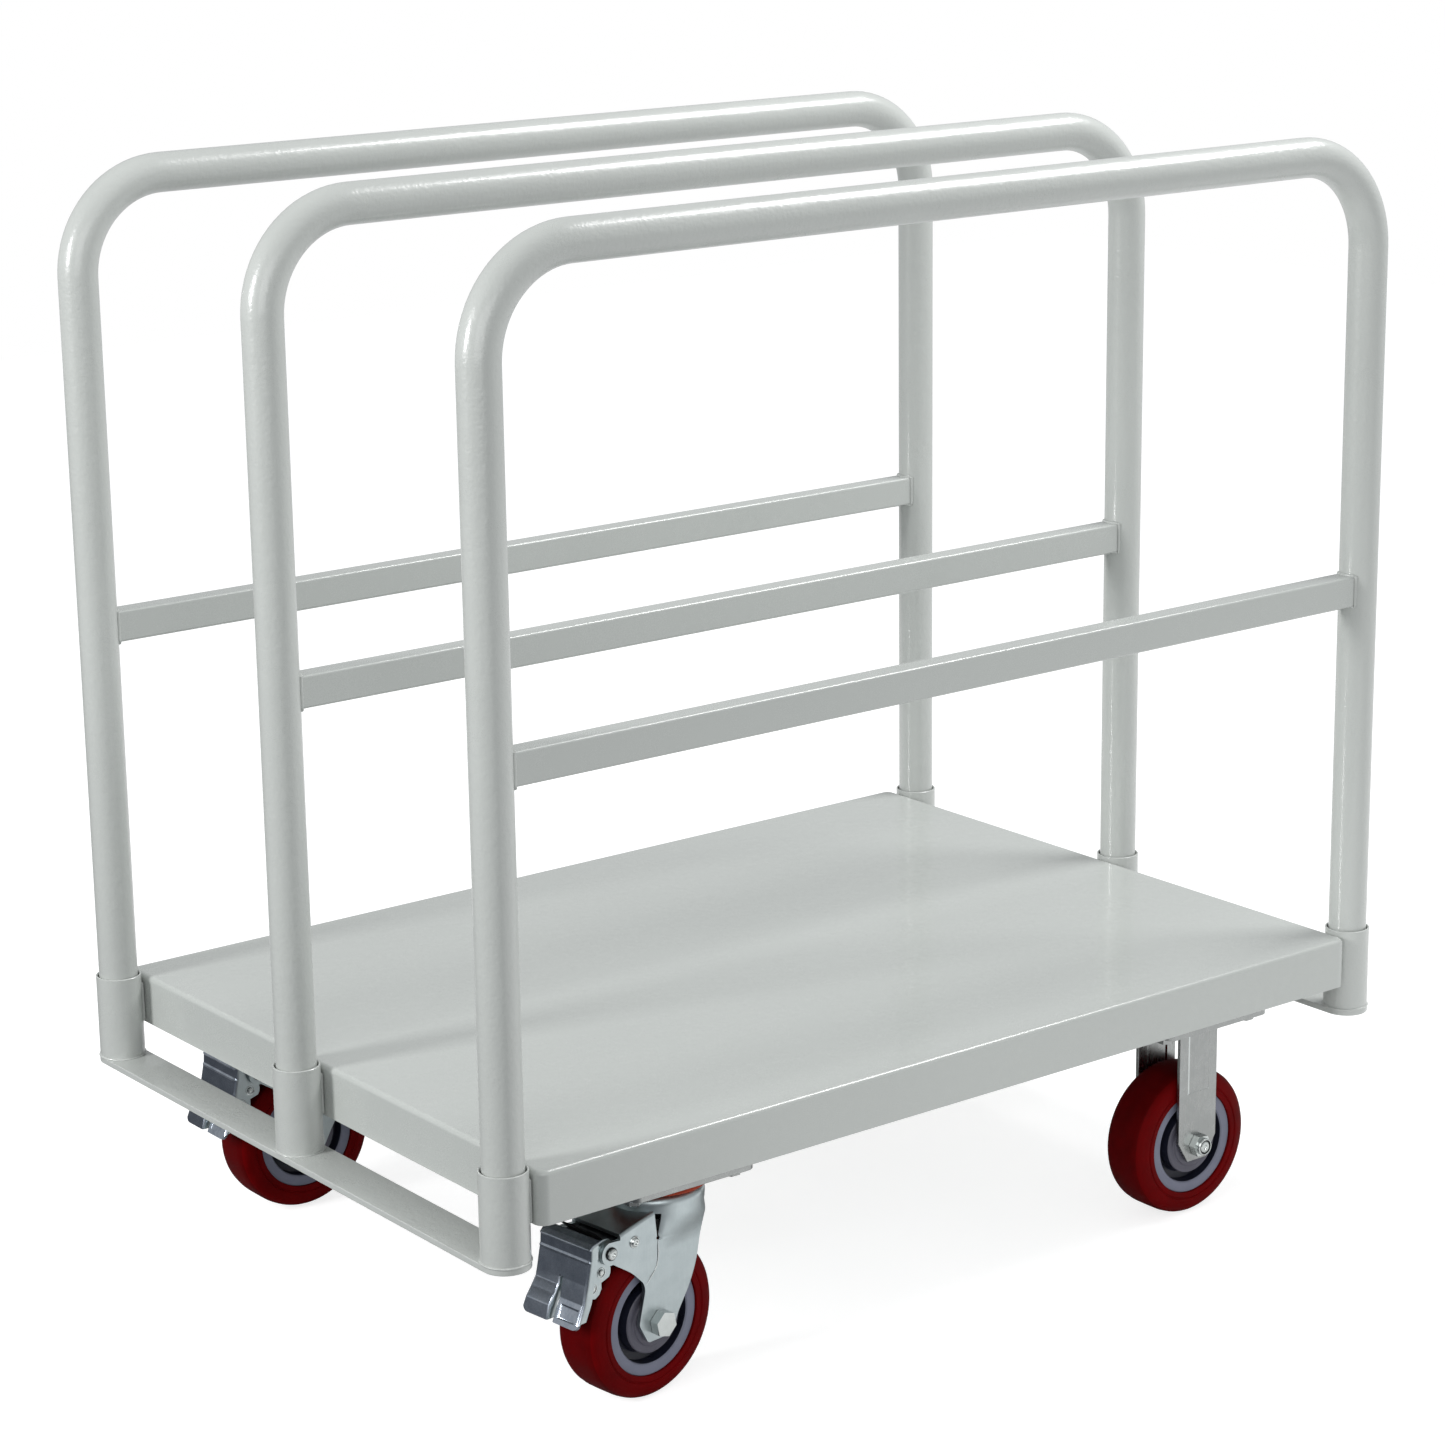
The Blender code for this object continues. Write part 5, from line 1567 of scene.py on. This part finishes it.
    def build(self, fitter: Fitter) -> None:
        """Make the pedal, the spring, the link and the pins, and dress the shoe.

        Args:
            fitter: What makes the pieces.
        """
        word, body = self.side.word, "brake_" + self.side.word
        pinned = [Coat.BOLT_ZINC, Coat.BLACK_AND_SHADE]
        fitter.fit("stamped_pedal_" + word, self.at_pin(self.pedal()), body, [Coat.PEDAL_ZINC, Coat.ZINC],
                   ["brake_pedal_" + word], wall=self.sheet, edge=0.0004)
        fitter.fit("lock_spring_" + word, self.spring().moved(self.place), "swivel_" + word,
                   [Coat.BLACK_AND_SHADE], wall=0.0010)
        link = Shape.of_node("brake_link_" + word).soften(0.0004, 2, 35)
        fitter.fit("pressed_link_" + word, link, body, [Coat.ZINC], ["brake_link_" + word])
        fitter.fit("link_pin_ends_" + word, self.link_pins().moved(self.place), body, pinned)
        # The pedal rivet's ring round its head is darkened as painted shade.
        pin = Shape.pin(SEAT, self.pedal_head).band(1, 0.0041, 0.0051, SEAT + 0.00105).tipped()
        fitter.fit("pedal_rivet_" + word, self.at_pin(pin), body, pinned, ["pedal_pin_" + word])
        fitter.palette.dress_node("brake_shoe_" + word, Coat.SHOE)


@dataclass
class RigidYoke:
    """The folded yoke of a rigid caster: two straight legs, each with a pressed panel."""

    place: Matrix
    side: Side
    top: float = 0.1732
    wide: float = 0.0215
    panel: float = 0.012
    panel_middle: float = 0.137
    levels: tuple[Point, ...] = ((0.1635, 1.0), (0.1105, 1.0), (0.0680, 1.0), (0.0497, 0.50))

    def skin(self) -> Shape:
        """Return the yoke's outer skin.

        Returns:
            The skin.
        """
        shape = Shape()
        bmesh.ops.create_grid(shape.bm, x_segments=3, y_segments=1, size=1.0)
        for vert in shape.bm.verts:
            half = self.wide if abs(vert.co.x) > 0.5 else self.panel
            vert.co = Vector((math.copysign(half, vert.co.x), math.copysign(HALF_FORK, vert.co.y), self.top))
        for sign in (-1, 1):
            web = [vert for vert in shape.bm.verts if vert.co.y * sign > 0 and vert.co.z > self.top - MERGE]
            row = sorted(web, key=lambda vert: vert.co.x)
            for height, share in self.levels:
                row = shape.grown_row(row, [Vector((vert.co.x * share, vert.co.y, height)) for vert in row])
        shape.tidy().facing(UP)
        centres = {face: face.calc_center_median() for face in shape.bm.faces}
        panels = [face for face, spot in centres.items()
                  if abs(spot.z - self.panel_middle) < 0.01 and abs(spot.x) < 0.001]
        painted_highlight_slopes = bmesh.ops.inset_individual(shape.bm, faces=panels, thickness=0.0009, depth=0.0007,
                                            use_even_offset=True)["faces"]
        # The panel's sloped rim wears the brighter bolt zinc as a painted highlight line.
        shape.tint(1, painted_highlight_slopes)
        bends = [edge for edge in shape.bm.edges if all(vert.co.z > self.top - MERGE for vert in edge.verts)
                 and extent(edge, Y) < MERGE and len(edge.link_faces) == 2]
        return shape.round_off(bends, 0.004, 6)

    def build(self, fitter: Fitter) -> None:
        """Make the yoke.

        Args:
            fitter: What makes the piece.
        """
        word = self.side.word
        fitter.fit("folded_yoke_" + word, self.skin().moved(self.place), "cart",
                   [Coat.YOKE_ZINC, Coat.BOLT_ZINC], ["rigid_yoke_" + word], wall=FORK_SHEET, edge=0.0005)


@dataclass
class Caster:
    """One caster under a corner of the deck, swivelling with a brake or rigid."""

    end: End
    side: Side
    x: float = 0.273
    y: float = 0.245
    boss: float = 0.034
    right_heading: float = 7.0
    seal: tuple[Point, ...] = ((0.0345, 0.1732), (0.0385, 0.1732), (0.0390, 0.1722), (0.0392, 0.1700),
                               (0.0397, 0.1675), (0.0400, 0.1662), (0.0396, 0.1652), (0.0385, 0.1648),
                               (0.0345, 0.1648))

    def build(self, fitter: Fitter) -> None:
        """Make the caster's pieces in order from its plate down.

        Args:
            fitter: What makes the pieces.
        """
        word = self.side.word
        base = Matrix.Translation((self.x * self.end.value, self.y * self.side.value, 0))
        if self.end is End.RIGID:
            CasterPlate(base, "rigid_plate_" + word).build(fitter)
            RigidYoke(base, self.side).build(fitter)
            hub = base @ Matrix.Translation((0, 0, AXLE_HEIGHT))
            Wheel(hub, "rigid_" + word, "rigid_wheel_" + word, "cart", nut_faces_right=True).build(fitter)
            return
        CasterPlate(base, "swivel_plate_" + word, self.boss).build(fitter)
        ring = Shape.turned(self.seal, 96, closed=True)
        fitter.fit("dust_seal_" + word, ring.moved(base), "cart", [Coat.SEAL], ["seal_ring_" + word])
        turned = base @ turn_z(self.right_heading if self.side is Side.RIGHT else 0.0)
        SwivelFork(turned, self.side).build(fitter)
        Brake(turned, self.side).build(fitter)
        hub = turned @ Matrix.Translation((-TRAIL, 0, AXLE_HEIGHT))
        Wheel(hub, "swivel_" + word, "swivel_wheel_" + word, "swivel_" + word).build(fitter)
        fitter.palette.dress_node("ball_race_" + word, Coat.STEEL)
        # The kingpin is darkened as painted shade inside the fork's notch.
        fitter.palette.dress_node("kingpin_" + word, Coat.BLACK_AND_SHADE)


@dataclass(frozen=True)
class SoftBox:
    """One soft box that faces the cart, with the direction to it and its size as width and height."""

    name: str
    aim: Triple
    distance: float
    size: tuple[float, float]
    watts: float

    def hang(self) -> None:
        """Hang the lamp, aimed at the middle of the cart."""
        data = bpy.data.lights.new(self.name, "AREA")
        data.shape = "RECTANGLE"
        data.size, data.size_y = self.size
        data.energy = self.watts
        away = Vector(self.aim).normalized()
        turn = away.to_track_quat("Z", "Y").to_matrix().to_4x4()
        middle = Vector((0, 0, 0.4))
        link_in(self.name, data).matrix_world = Matrix.Translation(away * self.distance + middle) @ turn


@dataclass
class Studio:
    """The white room of the photograph: its camera, floor, backdrop and lights."""

    lens: float = 92.5
    spot: Triple = (-1.821, -2.355, 1.215)
    yaw: float = 0.654
    pitch: float = 0.260
    roll: float = -0.014
    floor_size: float = 9.0
    paper: Colour = (0.86, 0.86, 0.86)
    dusk: Colour = (0.10, 0.105, 0.115)
    dusk_span: tuple[float, float] = (-0.50, -0.20)
    daylight: Colour = (0.965, 0.985, 1.0)
    daylight_strength: float = 0.54
    lamps: tuple[SoftBox, ...] = (SoftBox("overhead", (0.57, -0.20, 0.80), 2.6, (0.9, 0.9), 45.0),
                                  SoftBox("left_box", (-0.90, 0.10, 0.32), 2.8, (0.45, 0.8), 43.0),
                                  SoftBox("front_fill", (-0.60, -0.74, 0.28), 3.2, (2.0, 1.6), 17.5))

    def camera(self) -> None:
        """Place the camera where the photograph was taken from."""
        data = bpy.data.cameras.new("photo_view")
        data.lens = self.lens
        data.clip_end = 50.0
        level_share = math.cos(self.pitch)
        forward = Vector((math.sin(self.yaw) * level_share, math.cos(self.yaw) * level_share,
                          -math.sin(self.pitch)))
        level = Vector((math.cos(self.yaw), -math.sin(self.yaw), 0.0))
        right = level * math.cos(self.roll) + level.cross(forward) * math.sin(self.roll)
        turn = Matrix((right, right.cross(forward), -forward)).transposed().to_4x4()
        camera = link_in("photo_view", data)
        camera.matrix_world = Matrix.Translation(self.spot) @ turn
        bpy.context.scene.camera = camera

    def world(self) -> None:
        """Fill the room with even light, and show it pure white to the camera."""
        tree = ShaderTree(bpy.data.worlds.new("white_room"))
        seen = tree.node("LightPath", output="Is Camera Ray")
        lights = ((self.daylight, self.daylight_strength), ((1.0, 1.0, 1.0), 1.0))
        soft, white = (tree.node("Background", inputs={"Color": (*colour, 1.0), "Strength": strength})
                       for colour, strength in lights)
        mix = tree.node("MixShader", inputs={0: seen, 1: soft, 2: white})
        bpy.context.scene.world = tree.surface(mix, "OutputWorld")

    def floor(self) -> None:
        """Lay a plain pale floor that shows as white and keeps the cart's shadow.

        Only mirrored rays see its darker tone past the swivel end.
        """
        tree = ShaderTree(bpy.data.materials.new("studio_floor"))
        paper = tree.node("BsdfDiffuse", inputs={"Color": (*self.paper, 1.0)})
        across = tree.node("SeparateXYZ", inputs={0: tree.node("TexCoord", output="Object")}, output="X")
        shade = tree.span(across, 1.0, 0.0, *self.dusk_span)
        mirrored_tone = tree.node("BsdfDiffuse", inputs={"Color": tree.blend(shade, self.paper, self.dusk)})
        lit = tree.node("Emission", inputs={"Color": (1.0, 1.0, 1.0, 1.0), "Strength": 1.75})
        seen = tree.node("MixShader", inputs={0: 0.55, 1: lit, 2: paper})
        glow = tree.node("LightPath", output="Is Camera Ray")
        shown = tree.node("MixShader", inputs={0: glow, 1: mirrored_tone, 2: seen})
        shape = Shape()
        bmesh.ops.create_grid(shape.bm, x_segments=1, y_segments=1, size=self.floor_size / 2)
        floor = link_in("studio_floor", shape.mesh("studio_floor"))
        floor.data.materials.append(tree.surface(shown))

    def build(self) -> None:
        """Set the room up."""
        self.camera()
        self.world()
        self.floor()
        for lamp in self.lamps:
            lamp.hang()
        bpy.context.scene.view_settings.view_transform = "Standard"
        log.info("studio set")


def main() -> None:
    """Build the cart's looks, one sub-assembly after another."""
    logging.basicConfig(level=logging.INFO, format="%(message)s")
    fitter = Fitter(Palette())
    Deck().build(fitter)
    for end in End:
        TieBar(end).build(fitter)
        for row in Row:
            Socket(end, row).build(fitter)
        for side in Side:
            Caster(end, side).build(fitter)
    for row in Row:
        Hoop(row).build(fitter)
    Studio().build()


if __name__ == "__main__":
    main()
